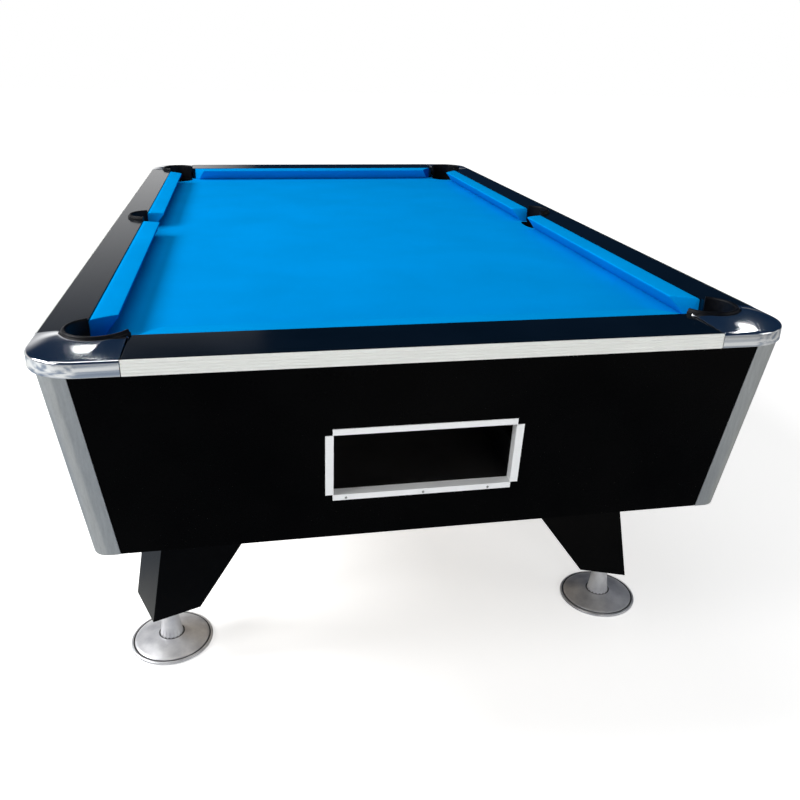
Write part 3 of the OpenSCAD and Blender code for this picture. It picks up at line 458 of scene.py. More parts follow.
@dataclass(frozen=True)
class SpunChrome(Finish):
    """Chrome turned on a lathe, with rings round each foot's axis, and near-black painted shade with grime in
    the groove inside its rim and round its hub.
    """

    gloss: Pair = (0.30, 0.44)
    metal: float = 0.55
    axis: Pair = (0.530, 0.871)
    grooves: Pair = (0.0859, 0.0277)
    groove_half: Pair = (0.0012, 0.0022)
    groove_shade_and_grime: Colour = (0.012, 0.012, 0.014)
    groove_shade_and_grime_cover: float = 0.92
    ring_scale: float = 420.0
    mark_scale: float = 24.0
    relief: Pair = (0.06, 0.0002)

    def dress(self, canvas: Canvas) -> None:
        """Fills the material.

        Args:
            canvas: The material's canvas.
        """
        folded = canvas.vector("ABSOLUTE", canvas.place).outputs[0]
        centred = canvas.vector("SUBTRACT", folded, (*self.axis, 0.0)).outputs[0]
        flat = canvas.vector("MULTIPLY", centred, (1.0, 1.0, 0.0)).outputs[0]
        radius = canvas.vector("LENGTH", flat).outputs["Value"]
        spot = {"X": radius, "Y": canvas.split(canvas.place)["Z"], "Z": 0.0}
        rings = canvas.add("ShaderNodeCombineXYZ", spot).outputs[0]
        turned = canvas.pattern(Pattern.DRAWN, self.ring_scale, rings)
        marks = canvas.pattern(Pattern.MARKS, self.mark_scale)
        both = canvas.math("MULTIPLY", turned["Rough"], marks["Rough"])
        # The ring in the groove inside the rim and the ring round the hub go near-black: painted shade in
        # these recesses, with grime.
        rim, hub = (canvas.math("ABSOLUTE", canvas.math("SUBTRACT", radius, r)) for r in self.grooves)
        groove_shade_and_grime_mask = canvas.ranged(canvas.math("MINIMUM", rim, hub), self.groove_shade_and_grime_cover, 0.0, self.groove_half)
        metal = canvas.tinted(marks["Tone"], self.dark, self.light)
        canvas.set(Metallic=self.metal, Base_Color=canvas.tinted(groove_shade_and_grime_mask, metal, self.groove_shade_and_grime),
                   Roughness=canvas.ranged(both, *self.gloss),
                   Normal=canvas.bumped(turned["Height"], *self.relief))


@dataclass(frozen=True)
class Cloth(Finish):
    """Napped wool cloth, with painted navy shade on faces turned towards +X."""

    threads: float = 260.0
    gloss: Pair = (0.82, 0.98)
    relief: Pair = (0.35, 0.0004)
    sheen: float = 0.02
    sheen_rough: float = 0.45
    sheen_tint: Colour = (0.0, 0.45, 1.0)
    painted_shade_navy: Colour = (0.0, 0.035, 0.36)
    painted_shade_span: Pair = (0.25, 0.75)
    most_painted_shade: float = 0.85

    def dress(self, canvas: Canvas) -> None:
        """Fills the material.

        Args:
            canvas: The material's canvas.
        """
        nap = canvas.pattern(Pattern.NAP, self.threads)
        # Faces turned towards +X, away from the left lamps, are mixed towards navy: painted shade.
        facing = canvas.split(canvas.add("ShaderNodeNewGeometry").outputs["True Normal"])["X"]
        turned = canvas.ranged(facing, 0.0, self.most_painted_shade, self.painted_shade_span)
        ground = canvas.tinted(nap["Tone"], self.dark, self.light)
        canvas.set(Specular_IOR_Level=0.0, Sheen_Weight=self.sheen, Sheen_Roughness=self.sheen_rough,
                   Sheen_Tint=(*self.sheen_tint, 1.0),
                   Base_Color=canvas.tinted(turned, ground, self.painted_shade_navy),
                   Roughness=canvas.ranged(nap["Rough"], *self.gloss),
                   Normal=canvas.bumped(nap["Height"], *self.relief))


PANEL = Laminate("black_laminate", (0.0006, 0.0006, 0.0007), (0.0012, 0.0012, 0.0013), shine=0.03)
RAIL_TOP = Laminate("rail_laminate", (0.0002, 0.0019, 0.0042), (0.0010, 0.0036, 0.0078), gloss=(0.08, 0.14),
                    shine=0.35, film=0.0015)
LEG_BLACK = Laminate("leg_laminate", (0.0006, 0.0006, 0.0007), (0.0014, 0.0014, 0.0015), gloss=(0.14, 0.22),
                     shine=0.08)
POST_METAL = DrawnMetal("post_aluminium", (0.515, 0.52, 0.51), (0.66, 0.667, 0.655), Run.UPRIGHT.value,
                        gloss=(0.38, 0.5), scale=240.0)
# The end trims and side trims are one aluminium in two tones: the side trims are darker and less metallic as
# painted shade against the strong left lamps.
TRIM_ACROSS = DrawnMetal("trim_aluminium_across", (0.86, 0.87, 0.83), (0.95, 0.96, 0.92), Run.ACROSS.value,
                         gloss=(0.36, 0.5), metal=0.3, relief=0.06)
TRIM_ALONG_SHADED = DrawnMetal("trim_aluminium_along_shaded", (0.70, 0.71, 0.68), (0.78, 0.79, 0.76), Run.ALONG.value,
                        gloss=(0.36, 0.5), metal=0.15, relief=0.06)
WINDOW_METAL = DrawnMetal("window_aluminium", (0.88, 0.90, 0.90), (0.96, 0.97, 0.98), Run.ACROSS.value,
                          gloss=(0.3, 0.4), metal=0.2)
CHROME = Chrome("chrome", (0.64, 0.66, 0.69), (0.76, 0.77, 0.79))
FOOT_CHROME = SpunChrome("spun_chrome", (0.56, 0.56, 0.59), (0.92, 0.92, 0.93))
BED = Cloth("bed_cloth_blue", (0.0, 0.232, 0.61), (0.0, 0.262, 0.70))
CUSHION = Cloth("cushion_cloth_blue", (0.0, 0.242, 0.62), (0.0, 0.275, 0.70))
TIMBER = Board("softwood", (0.36, 0.23, 0.11), (0.62, 0.45, 0.26), (3.0, 0.4, 3.0))
PLYWOOD = Board("plywood", (0.36, 0.30, 0.23), (0.54, 0.47, 0.38), (2.0, 0.35, 2.0))
SLATE = Moulding("ground_slate", (0.035, 0.04, 0.045), (0.07, 0.078, 0.085), gloss=(0.55, 0.75), scale=18.0)
POCKET = Moulding("pocket_rubber", (0.0016, 0.0018, 0.0026), (0.0040, 0.0044, 0.0060), gloss=(0.34, 0.46),
                  scale=120.0, relief=0.2, shine=0.12)
PLASTIC = Moulding("black_moulding", (0.012, 0.012, 0.013), (0.028, 0.028, 0.03), gloss=(0.4, 0.6),
                   scale=90.0, relief=0.2, dusty=0.05)
ZINC = Moulding("zinc_steel", (0.42, 0.43, 0.42), (0.62, 0.62, 0.58), gloss=(0.3, 0.5), scale=70.0,
                relief=0.1, metal=1.0)
COATING = Moulding("black_coating", (0.008, 0.008, 0.009), (0.016, 0.016, 0.018), gloss=(0.35, 0.5),
                   scale=220.0, relief=0.35)


@dataclass(frozen=True)
class Piece:
    """A visible piece: its finish, its slot, the body it rides on and the solids it stands for."""

    name: str
    finish: Finish
    slot: str
    body: str = "table"
    replaces: Sequence[str] = ()

    def make(self, mesh: Mesh, sharp: float = 32.0, edge: float = 0.0, wall: float = 0.0) -> bpy.types.Object:
        """Turns a finished bmesh into the piece.

        Args:
            mesh: The piece's shape, which is freed.
            sharp: Angle in degrees above which an edge stays crisp.
            edge: Width to which crisp edges are softened.
            wall: Thickness that a skin gets on its inner side.

        Returns:
            The piece's object.
        """
        data = bpy.data.meshes.new(self.name)
        mesh.to_mesh(data)
        mesh.free()
        piece = bpy.data.objects.new(self.name, data)
        bpy.context.scene.collection.objects.link(piece)
        data.materials.append(self.finish.material())
        data.shade_smooth()
        data.set_sharp_from_angle(angle=math.radians(sharp))
        if wall:
            solid = piece.modifiers.new("Wall", "SOLIDIFY")
            solid.thickness = wall
            solid.offset = -1.0
            solid.use_even_offset = True
        if edge:
            soft = piece.modifiers.new("Soft edges", "BEVEL")
            soft.width = edge
            soft.segments = EDGE_FACETS
            soft.limit_method = "ANGLE"
            soft.angle_limit = math.radians(sharp)
            soft.harden_normals = True
            soft.use_clamp_overlap = True
        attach(piece, self.body)
        if self.replaces:
            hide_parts(*self.replaces)
        LOG.info("made %s with %d faces", self.name, len(data.polygons))
        return piece


def solid_copy(node: str) -> Mesh:
    """Copies a solid's mesh, merges it and joins its coplanar triangles.

    Args:
        node: Name of the solid.

    Returns:
        The copy.
    """
    mesh = bmesh.new()
    mesh.from_mesh(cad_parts[node].data)
    bmesh.ops.remove_doubles(mesh, verts=mesh.verts, dist=MERGE_DISTANCE)
    bmesh.ops.dissolve_limit(mesh, angle_limit=COPLANAR, verts=mesh.verts, edges=mesh.edges)
    return mesh


def softened(node: str, name: str, finish: Finish, slot: str, edge: float, body: str = "table",
             sharp: float = 32.0) -> None:
    """Makes a piece that follows a solid, with its crisp edges softened."""
    Piece(name, finish, slot, body, [node]).make(solid_copy(node), sharp=sharp, edge=edge)


def chain(mesh: Mesh, points: Iterable[Sequence[float]],
          closed: bool = False) -> tuple[list[Vert], list[Edge]]:
    """Draws a line of points in a bmesh.

    Args:
        mesh: The bmesh.
        points: The points.
        closed: Whether the last point is joined to the first.

    Returns:
        The vertices and the edges of the line.
    """
    verts = [mesh.verts.new(point) for point in points]
    pairs = list(zip(verts, verts[1:])) + ([(verts[-1], verts[0])] if closed else [])
    return verts, [mesh.edges.new(pair) for pair in pairs]


def of_kind(made: Iterable[Any], kind: type) -> list[Any]:
    """Picks what an operator made of one kind: Vert, Edge or Face."""
    return [item for item in made if isinstance(item, kind)]


def prism(section: Sequence[Vector], step: Vector) -> Mesh:
    """Draws a closed section and pushes it along a straight line.

    Args:
        section: Points of the section.
        step: How far it goes.

    Returns:
        The closed shape.
    """
    mesh = bmesh.new()
    verts, _ = chain(mesh, section, closed=True)
    grown = bmesh.ops.extrude_face_region(mesh, geom=[mesh.faces.new(verts)], use_keep_orig=True)["geom"]
    bmesh.ops.translate(mesh, vec=step, verts=of_kind(grown, Vert))
    bmesh.ops.recalc_face_normals(mesh, faces=mesh.faces)
    return mesh


def lathe(mesh: Mesh, profile: Sequence[Pair], centre: Vector, steps: int) -> None:
    """Spins a half section once round an upright axis.

    Args:
        mesh: The bmesh that gets the shape.
        profile: Radius and height of each point, from the bottom up.
        centre: Where the axis stands.
        steps: Facets round the axis.
    """
    verts, edges = chain(mesh, [(centre.x + r, centre.y, centre.z + z) for r, z in profile])
    bmesh.ops.spin(mesh, geom=verts + edges, cent=centre, axis=(0, 0, 1), angle=math.tau, steps=steps,
                   use_merge=True)
    bmesh.ops.remove_doubles(mesh, verts=mesh.verts, dist=MERGE_DISTANCE)


def arc(centre: Pair, radius: float, start: float, end: float, steps: int) -> list[Pair]:
    """Gives points on an arc in a section, both ends among them, with its angles in degrees."""
    turns = [math.radians(start + (end - start) * i / steps) for i in range(steps + 1)]
    return [(centre[0] + radius * math.cos(a), centre[1] + radius * math.sin(a)) for a in turns]


def to_corner(mesh: Mesh, corner: Corner) -> None:
    """Mirrors what is drawn for the front left to another corner, faces outwards."""
    bmesh.ops.scale(mesh, vec=corner.flip, verts=mesh.verts)
    bmesh.ops.recalc_face_normals(mesh, faces=mesh.faces)


@dataclass
class CornerCasting:
    """Chrome cap of a corner: an upright skirt and a dome that rises to the pocket's lip."""

    leg: float = 0.158
    seam: float = 0.0012
    outer_r: float = 0.092
    edge_r: float = 0.0045
    rise: float = 0.0062
    bore: float = 0.0632
    wall: float = 0.003
    skirt: tuple[Pair, ...] = ((0.0008, 0.0003), (0.0, 0.0015), (0.0, 0.011))
    rim: tuple[Pair, ...] = ((0.0005, 0.0004), (0.0, 0.0018), (0.0, 0.013))
    rim_round: float = 0.0016
    end_share: float = 0.22
    end_rise: float = 0.4
    steps: int = 72
    edge_steps: int = 5
    dome_steps: int = 12

    def outer(self, t: float, inset: float) -> Vector:
        """Gives a point on the outer outline of the front left casting.

        Args:
            t: Place along the outline, from the front seam at 0 to the side seam at 1.
            inset: Distance inside the outline.

        Returns:
            The point in plan.
        """
        straight = self.leg - self.seam - self.outer_r
        curved = self.outer_r * math.pi / 2
        along = t * (2 * straight + curved)
        x0, y0 = -LINES.half_width, -LINES.half_length
        if along <= straight:
            return Vector((x0 + self.outer_r + straight - along, y0 + inset, 0))
        if along >= straight + curved:
            return Vector((x0 + inset, y0 + self.outer_r + along - straight - curved, 0))
        turn = (along - straight) / self.outer_r
        centre = Vector((x0 + self.outer_r, y0 + self.outer_r, 0))
        return centre + (self.outer_r - inset) * Vector((-math.sin(turn), -math.cos(turn), 0))

    def inner(self, t: float, radius: float) -> Vector:
        """Gives a point on the rim round the pocket.

        Args:
            t: Place along the rim, as along the outline.
            radius: Distance from the pocket's centre.

        Returns:
            The point in plan.
        """
        across = LINES.pocket_x - (LINES.half_width - self.leg + self.seam)
        along = LINES.pocket_y - (LINES.half_length - self.leg + self.seam)
        start = -math.asin(math.sqrt(max(0.0, radius ** 2 - across ** 2)) / radius)
        end = -math.pi - math.asin(along / radius)
        turn = start + (end - start) * t
        centre = Vector((-LINES.pocket_x, -LINES.pocket_y, 0))
        return centre + radius * Vector((math.cos(turn), math.sin(turn), 0))

    def dome(self, t: float, s: float) -> Vector:
        """Gives a point on the dome.

        Args:
            t: Place along the casting.
            s: Place across it, from its outer edge at 0 to the rim at 1.

        Returns:
            The point.
        """
        near = min(t, 1 - t) / self.end_share
        ease = self.end_rise + (1 - self.end_rise) * (near * near * (3 - 2 * near) if near < 1 else 1.0)
        flat = self.outer(t, self.edge_r).lerp(self.inner(t, self.bore + self.rim_round), s)
        return flat + Vector((0, 0, LINES.rail_top + self.rise * ease * math.sin(math.pi / 2 * s)))

    def level_line(self, inset: float, height: float) -> Callable[[float], Vector]:
        """Gives the outline at this inset and height, as a function of the place along it."""
        return lambda t: self.outer(t, inset) + Vector((0, 0, height))

    def rings(self) -> list[Callable[[float], Vector]]:
        """Gives the lines that the skin runs through, from the skirt's lower edge to the pocket's rim.

        Returns:
            One function of the place along the casting for each line.
        """
        lines = [self.level_line(inset, LINES.trim_low + up) for inset, up in self.skirt]
        for i in range(self.edge_steps + 1):
            turn = math.pi / 2 * i / self.edge_steps
            lines.append(self.level_line(self.edge_r * (1 - math.cos(turn)),
                                         LINES.rail_top - self.edge_r * (1 - math.sin(turn))))
        for i in range(1, self.dome_steps + 1):
            lines.append(lambda t, s=i / self.dome_steps: self.dome(t, s))
        for wider, drop in self.rim:
            lines.append(lambda t, r=self.bore + wider, d=drop: self.inner(t, r)
                         + Vector((0, 0, self.dome(t, 1.0).z - d)))
        return lines

    def build(self, corner: Corner) -> None:
        """Builds the casting of one corner.

        Args:
            corner: The corner.
        """
        mesh = bmesh.new()
        along = mesh.verts.layers.float.new("along")
        lines = self.rings()
        verts, edges = chain(mesh, [lines[0](i / self.steps) for i in range(self.steps + 1)])
        for i, vert in enumerate(verts):
            vert[along] = i / self.steps
        for line in lines[1:]:
            grown = bmesh.ops.extrude_edge_only(mesh, edges=edges)["geom"]
            edges = of_kind(grown, Edge)
            for vert in of_kind(grown, Vert):
                vert.co = line(vert[along])
        to_corner(mesh, corner)
        if sum(face.normal.z * face.calc_area() for face in mesh.faces) < 0:
            bmesh.ops.reverse_faces(mesh, faces=mesh.faces)
        node = f"corner_casting_{corner.label}"
        piece = Piece(f"{node}_cap", CHROME, "chrome", replaces=[node])
        piece.make(mesh, sharp=50.0, edge=0.0005, wall=self.wall)


@dataclass
class PocketLiner:
    """Black rubber liner of a pocket: a tube below the cloth and a lipped collar above it."""

    bore: float = 0.0525
    wall: float = 0.0035
    lip: float = 0.010
    lip_top: float = 0.836
    lip_low: float = 0.812
    crown: Pair = (0.0070, 0.0036)
    crown_steps: int = 12
    shoulder_drop: float = 0.0052
    shoulder: tuple[Pair, ...] = ((-0.0024, 0.0003), (-0.0012, 0.0), (-0.0003, -0.0004), (0.0, -0.0014))
    toe: float = 0.0035
    toe_r: float = 0.0015
    heel: Pair = (0.001, 0.002)
    sink: float = 0.0006
    edge: float = 0.0008
    low: float = 0.75825
    steps: int = 88

    def collar_section(self) -> list[Pair]:
        """Gives the closed half section of the collar.

        Returns:
            Radius and height of each point.
        """
        wide, high = self.crown
        outer, inner = self.bore + self.lip, self.bore + self.wall
        step = self.lip_top - self.shoulder_drop
        seat = LINES.cloth - self.sink
        crown = [(self.bore + wide / 2 + (x - 1) * wide / 2, self.lip_top - high + z * high)
                 for x, z in arc((1.0, 0.0), 1.0, 180, 0, self.crown_steps)]
        shoulder = [(outer + out, step + up) for out, up in self.shoulder]
        toe = arc((outer - self.toe_r, self.lip_low + self.toe_r), self.toe_r, 0, -90, 3)
        return [
            (self.bore, seat), (self.bore, self.lip_low), *crown, *shoulder, (outer, self.lip_low + self.toe),
            *toe, (inner + self.heel[0], self.lip_low), (inner, self.lip_low - self.heel[1]), (inner, seat),
        ]

    def add(self, mesh: Mesh, x: float, y: float, start: float, end: float) -> None:
        """Adds one liner to a bmesh.

        Args:
            mesh: The bmesh.
            x: Place of the pocket across the table.
            y: Place of the pocket along the table.
            start: Angle in degrees at which the collar starts.
            end: Angle at which it ends.
        """
        turn = Matrix.Translation((x, y, 0)) @ Matrix.Rotation(math.radians(start), 4, "Z")
        verts, _ = chain(mesh, [turn @ Vector((r, 0, z)) for r, z in self.collar_section()], closed=True)
        bmesh.ops.spin(mesh, geom=[mesh.faces.new(verts)], cent=(x, y, 0), axis=(0, 0, 1),
                       angle=math.radians(end - start), steps=self.steps)
        inner, seat = self.bore + self.wall, LINES.cloth - self.sink
        tube = [(self.bore, self.low), (inner, self.low), (inner, seat), (self.bore, seat)]
        verts, edges = chain(mesh, [(x + r, y, z) for r, z in tube], closed=True)
        bmesh.ops.spin(mesh, geom=verts + edges, cent=(x, y, 0), axis=(0, 0, 1), angle=math.tau,
                       steps=self.steps, use_merge=True)

    def finish(self, mesh: Mesh, name: str, node: str) -> None:
        """Closes the liners in a bmesh and makes them one piece.

        Args:
            mesh: The bmesh.
            name: Name of the piece.
            node: The solid that it stands for.
        """
        bmesh.ops.remove_doubles(mesh, verts=mesh.verts, dist=MERGE_DISTANCE)
        bmesh.ops.recalc_face_normals(mesh, faces=mesh.faces)
        Piece(name, POCKET, "pocket_black", replaces=[node]).make(mesh, sharp=40.0, edge=self.edge)

    def build_corner(self, corner: Corner) -> None:
        """Builds the liner of a corner pocket.

        Args:
            corner: The corner.
        """
        mesh = bmesh.new()
        radius = self.bore + self.lip
        start = math.degrees(math.acos((LINES.pocket_x - LINES.rail_x) / radius))
        end = 360 - math.degrees(math.asin((LINES.rail_y - LINES.pocket_y) / radius))
        self.add(mesh, -LINES.pocket_x, -LINES.pocket_y, start, end)
        bmesh.ops.scale(mesh, vec=corner.flip, verts=mesh.verts)
        self.finish(mesh, f"corner_liner_{corner.label}", f"corner_pocket_{corner.label}")

    def build_sides(self) -> None:
        """Builds the liners of both side pockets."""
        mesh = bmesh.new()
        half = math.degrees(math.acos((LINES.rail_x - LINES.side_pocket_x) / (self.bore + self.lip)))
        self.add(mesh, -LINES.side_pocket_x, 0, 180 - half, 180 + half)
        self.add(mesh, LINES.side_pocket_x, 0, -half, half)
        self.finish(mesh, "side_liners", "side_pocket_liners")


@dataclass
class RailCushion:
    """Cloth-covered rubber cushion of a rail, with its ends cut for the pockets."""

    depth: float = 0.048
    corner_mouth: float = 0.084
    corner_cut: float = math.radians(38)
    side_mouth: float = 0.074
    side_cut: float = math.radians(13)
    gap: float = 0.0006
    nose_r: float = 0.0025
    under: tuple[Pair, ...] = ((0.0006, 0.0), (0.0185, 0.0), (0.0215, 0.0012), (0.0330, 0.0170))
    crown: tuple[Pair, ...] = ((0.0449, 0.0026), (0.036, 0.0036), (0.024, 0.0044), (0.012, 0.0048),
                               (0.0035, 0.0049), (0.0018, 0.0041), (0.0006, 0.0017))
    end_r: float = 0.0022
    end_steps: int = 3
    row: float = 0.02

    def section(self) -> list[Pair]:
        """Gives the cushion's section, from its rail outward.

        Returns:
            Depth and height of each point.
        """
        low = LINES.cloth + self.gap
        nose = LINES.cloth + LINES.nose_height
        return [*((depth, low + up) for depth, up in self.under),
                *arc((self.depth - self.nose_r, nose), self.nose_r, -38, 82, 7),
                *((depth, nose + up) for depth, up in self.crown)]

    def bar(self, low: float, high: float, rail: float, along: int) -> Mesh:
        """Makes a straight bar of the section.

        Args:
            low: Where the bar starts along its rail.
            high: Where it ends.
            rail: Place of the rail's inner face, on the negative side.
            along: 0 for a bar along X, 1 for one along Y.

        Returns:
            The bar, with a row of edges at even steps.
        """
        mesh = bmesh.new()
        points = [(low, -rail + depth, height) if along == 0 else (-rail + depth, low, height)
                  for depth, height in self.section()]
        verts, _ = chain(mesh, points, closed=True)
        face = mesh.faces.new(verts)
        steps = max(2, round((high - low) / self.row))
        step = Vector((1, 0, 0)) if along == 0 else Vector((0, 1, 0))
        for number in range(steps):
            grown = bmesh.ops.extrude_face_region(mesh, geom=[face])["geom"]
            bmesh.ops.translate(mesh, vec=step * (high - low) / steps, verts=of_kind(grown, Vert))
            if number > 0:
                mesh.faces.remove(face)
            face = of_kind(grown, Face)[0]
        return mesh

    def cut(self, mesh: Mesh, point: Vector, normal: Vector) -> None:
        """Cuts an end off a bar and closes it.

        Args:
            mesh: The bar.
            point: A point of the cutting plane.
            normal: The side that goes.
        """
        made = bmesh.ops.bisect_plane(mesh, geom=mesh.verts[:] + mesh.edges[:] + mesh.faces[:],
                                      plane_co=point, plane_no=normal, clear_outer=True)
        bmesh.ops.holes_fill(mesh, edges=of_kind(made["geom_cut"], Edge), sides=0)

    def dress(self, mesh: Mesh, name: str, node: str) -> None:
        """Turns a cut bar into a padded piece.

        Args:
            mesh: The bar.
            name: Name of the piece.
            node: The solid that it stands for.
        """
        bmesh.ops.recalc_face_normals(mesh, faces=mesh.faces)
        ends = [edge for edge in mesh.edges
                if len(edge.link_faces) == 2 and max(len(face.verts) for face in edge.link_faces) > 6]
        bmesh.ops.bevel(mesh, geom=ends, offset=self.end_r, offset_type="OFFSET", segments=self.end_steps,
                        profile=0.5, affect="EDGES", clamp_overlap=True, material=-1)
        piece = Piece(name, CUSHION, "cushion_cloth", replaces=[node]).make(mesh, sharp=48.0)

    def build_end(self, name: str) -> None:
        """Builds the cushion of the front or rear end.

        Args:
            name: "front" or "rear".
        """
        nose = LINES.rail_x - self.depth - self.corner_mouth
        back = nose + self.depth * math.tan(self.corner_cut)
        mesh = self.bar(-back, back, LINES.rail_y, 0)
        for sign in (-1, 1):
            self.cut(mesh, Vector((sign * nose, -LINES.rail_y + self.depth, 0)),
                     Vector((sign * math.cos(self.corner_cut), math.sin(self.corner_cut), 0)))
        if name == "rear":
            bmesh.ops.scale(mesh, vec=(1, -1, 1), verts=mesh.verts)
        self.dress(mesh, f"cushion_cover_{name}", f"cushion_{name}")

    def build_side(self, corner: Corner) -> None:
        """Builds one of the four cushions along the sides.

        Args:
            corner: The corner that it runs to.
        """
        far = LINES.rail_y - self.depth - self.corner_mouth
        far_back = far + self.depth * math.tan(self.corner_cut)
        near_back = self.side_mouth - self.depth * math.tan(self.side_cut)
        mesh = self.bar(-far_back, -near_back, LINES.rail_x, 1)
        nose_x = -LINES.rail_x + self.depth
        self.cut(mesh, Vector((nose_x, -far, 0)),
                 Vector((math.sin(self.corner_cut), -math.cos(self.corner_cut), 0)))
        self.cut(mesh, Vector((nose_x, -self.side_mouth, 0)),
                 Vector((math.sin(self.side_cut), math.cos(self.side_cut), 0)))
        bmesh.ops.scale(mesh, vec=corner.flip, verts=mesh.verts)
        self.dress(mesh, f"cushion_cover_{corner.label}", f"cushion_side_{corner.label}")


@dataclass
class PlayingBed:
    """The bed: ground slate under a stretched cloth."""

    width: float = 1.2482
    length: float = 2.3482
    area: float = 2.8729
    side_hole: float = 0.059
    side_squeeze: float = 0.27

    def build(self) -> None:
        """Builds the cloth, open at the pockets."""
        piece = Piece("bed_cloth_sheet", BED, "blue_cloth", replaces=["bed_cloth"])
        mesh = solid_copy("bed_cloth")
        for vert in mesh.verts:
            inside = LINES.side_pocket_x - abs(vert.co.x)
            if abs(vert.co.y) < self.side_hole and 0 < inside < self.side_hole:
                vert.co.x = math.copysign(LINES.side_pocket_x - inside * self.side_squeeze, vert.co.x)
        cloth = piece.make(mesh, edge=0.0008)


@dataclass
class LevellingFoot:
    """Chrome foot: a disc with a rolled rim, a low cone, a fluted collar and a flared stem."""

    centre: Pair = (-0.530, -0.871)
    disc_r: float = 0.093
    rim: float = 0.0075
    groove: tuple[Pair, ...] = ((0.0054, -0.0003), (0.0060, -0.0026), (0.0082, -0.0026), (0.0088, 0.0004))
    cone_inset: float = 0.0094
    cone_end_r: float = 0.0295
    cone_lift: float = 0.001
    cone_rise: float = 0.0125
    cone_bulge: float = 0.0010
    cone_steps: int = 8
    hub: tuple[Pair, ...] = ((0.0284, -0.0010), (0.0279, -0.0024), (0.0268, -0.0022))
    hub_z: float = 0.022
    stem_base_r: float = 0.026
    stem_r: float = 0.017
    stem_neck: float = 0.014
    stem_steps: int = 14
    stem_top: float = 0.166
    stem_chamfer: float = 0.001
    leg_z: float = 0.111
    flutes: int = 18
    flute_depth: float = 0.030
    flute_up: float = 0.004
    flute_reach: float = 0.014
    flute_margin: float = 0.001
    steps: int = 120

    def section(self) -> list[Pair]:
        """Gives the foot's half section from the bottom up.

        Returns:
            Radius and height of each point.
        """
        edge = self.rim / 2
        rim = arc((self.disc_r - edge, edge), edge, -90, 90, 14)
        groove = [(self.disc_r - inset, self.rim + up) for inset, up in self.groove]
        cone_r = self.disc_r - self.cone_inset
        cone = []
        for i in range(self.cone_steps + 1):
            s = i / self.cone_steps
            lift = self.cone_lift + self.cone_rise * s + self.cone_bulge * math.sin(math.pi * s)
            cone.append((cone_r + (self.cone_end_r - cone_r) * s, self.rim + lift))
        hub = [(radius, self.hub_z + up) for radius, up in self.hub]
        height = self.leg_z - self.hub_z - self.stem_neck
        stem = []
        for i in range(self.stem_steps + 1):
            s = i / self.stem_steps
            flare = (self.stem_base_r - self.stem_r) * (1 - s) ** 1.5
            stem.append((self.stem_r + flare, self.hub_z + height * s))
        shank = [(self.stem_r, self.leg_z), (self.stem_r, self.stem_top - self.stem_chamfer),
                 (self.stem_r - self.stem_chamfer, self.stem_top), (0.0, self.stem_top)]
        return [(0.0, 0.0), *rim, *groove, *cone, *hub, *stem, *shank]

    def build(self, corner: Corner) -> None:
        """Builds the foot of one corner.

        Args:
            corner: The corner.
        """
        mesh = bmesh.new()
        centre = Vector((*self.centre, 0))
        lathe(mesh, self.section(), centre, self.steps)
        for vert in mesh.verts:
            out = (vert.co - centre).to_2d()
            fade = 1 - abs(vert.co.z - self.hub_z - self.flute_up) / self.flute_reach
            if fade > 0 and self.stem_r < out.length - self.flute_margin < self.stem_base_r:
                wave = 1 - math.cos(self.flutes * math.atan2(out.y, out.x))
                vert.co.xy = centre.xy + out * (1 - self.flute_depth * fade * wave)
        to_corner(mesh, corner)
        piece = Piece(f"foot_spun_{corner.label}", FOOT_CHROME, "chrome", f"{corner.label}_foot",
                      [f"foot_{corner.label}"])
        piece.make(mesh, sharp=38.0)


@dataclass
class Screws:
    """Button-head screws with a hexagon socket, set on a board."""

    radius: float = 0.0032
    height: float = 0.0016
    socket: float = 0.0014
    socket_floor: float = 0.3
    shoulders: tuple[Pair, ...] = ((0.55, 1.0), (0.85, 0.86), (1.0, 0.62))
    facets: int = 18

    def add(self, mesh: Mesh, place: Vector, out: Vector) -> None:
        """Adds one screw head.

        Args:
            mesh: The bmesh.
            place: Where the head sits.
            out: The direction that it faces.
        """
        turn = Matrix.Translation(place) @ out.to_track_quat("Z", "Y").to_matrix().to_4x4()
        rim = bmesh.ops.create_circle(mesh, cap_ends=False, segments=self.facets, radius=self.radius,
                                      matrix=turn)["verts"]
        edges = list({edge for vert in rim for edge in vert.link_edges})
        for lift, shrink in self.shoulders:
            grown = bmesh.ops.extrude_edge_only(mesh, edges=edges)["geom"]
            edges = of_kind(grown, Edge)
            for vert in of_kind(grown, Vert):
                local = turn.inverted() @ vert.co
                flat = Vector((local.x, local.y, 0)).normalized() * self.radius * shrink
                vert.co = turn @ (flat + Vector((0, 0, self.height * lift)))
        sunk = turn @ Matrix.Translation((0, 0, self.height * self.socket_floor))
        low = bmesh.ops.create_circle(mesh, cap_ends=True, segments=6, radius=self.socket,
                                      matrix=sunk)["verts"]
        walls = bmesh.ops.extrude_edge_only(mesh, edges=list({e for v in low for e in v.link_edges}))["geom"]
        bmesh.ops.translate(mesh, vec=out * self.height * (1 - self.socket_floor), verts=of_kind(walls, Vert))
        bmesh.ops.bridge_loops(mesh, edges=edges + of_kind(walls, Edge))

    def build(self, name: str, finish: Finish, slot: str, places: Iterable[Vector], out: Vector) -> None:
        """Builds a set of screws as one piece.

        Args:
            name: Name of the piece.
            finish: Its finish.
            slot: Name of the material slot, kept on the piece.
            places: Where each head sits.
            out: The direction that they all face.
        """
        mesh = bmesh.new()
        for place in places:
            self.add(mesh, place, out)
        bmesh.ops.recalc_face_normals(mesh, faces=mesh.faces)
        Piece(name, finish, slot).make(mesh, sharp=35.0)


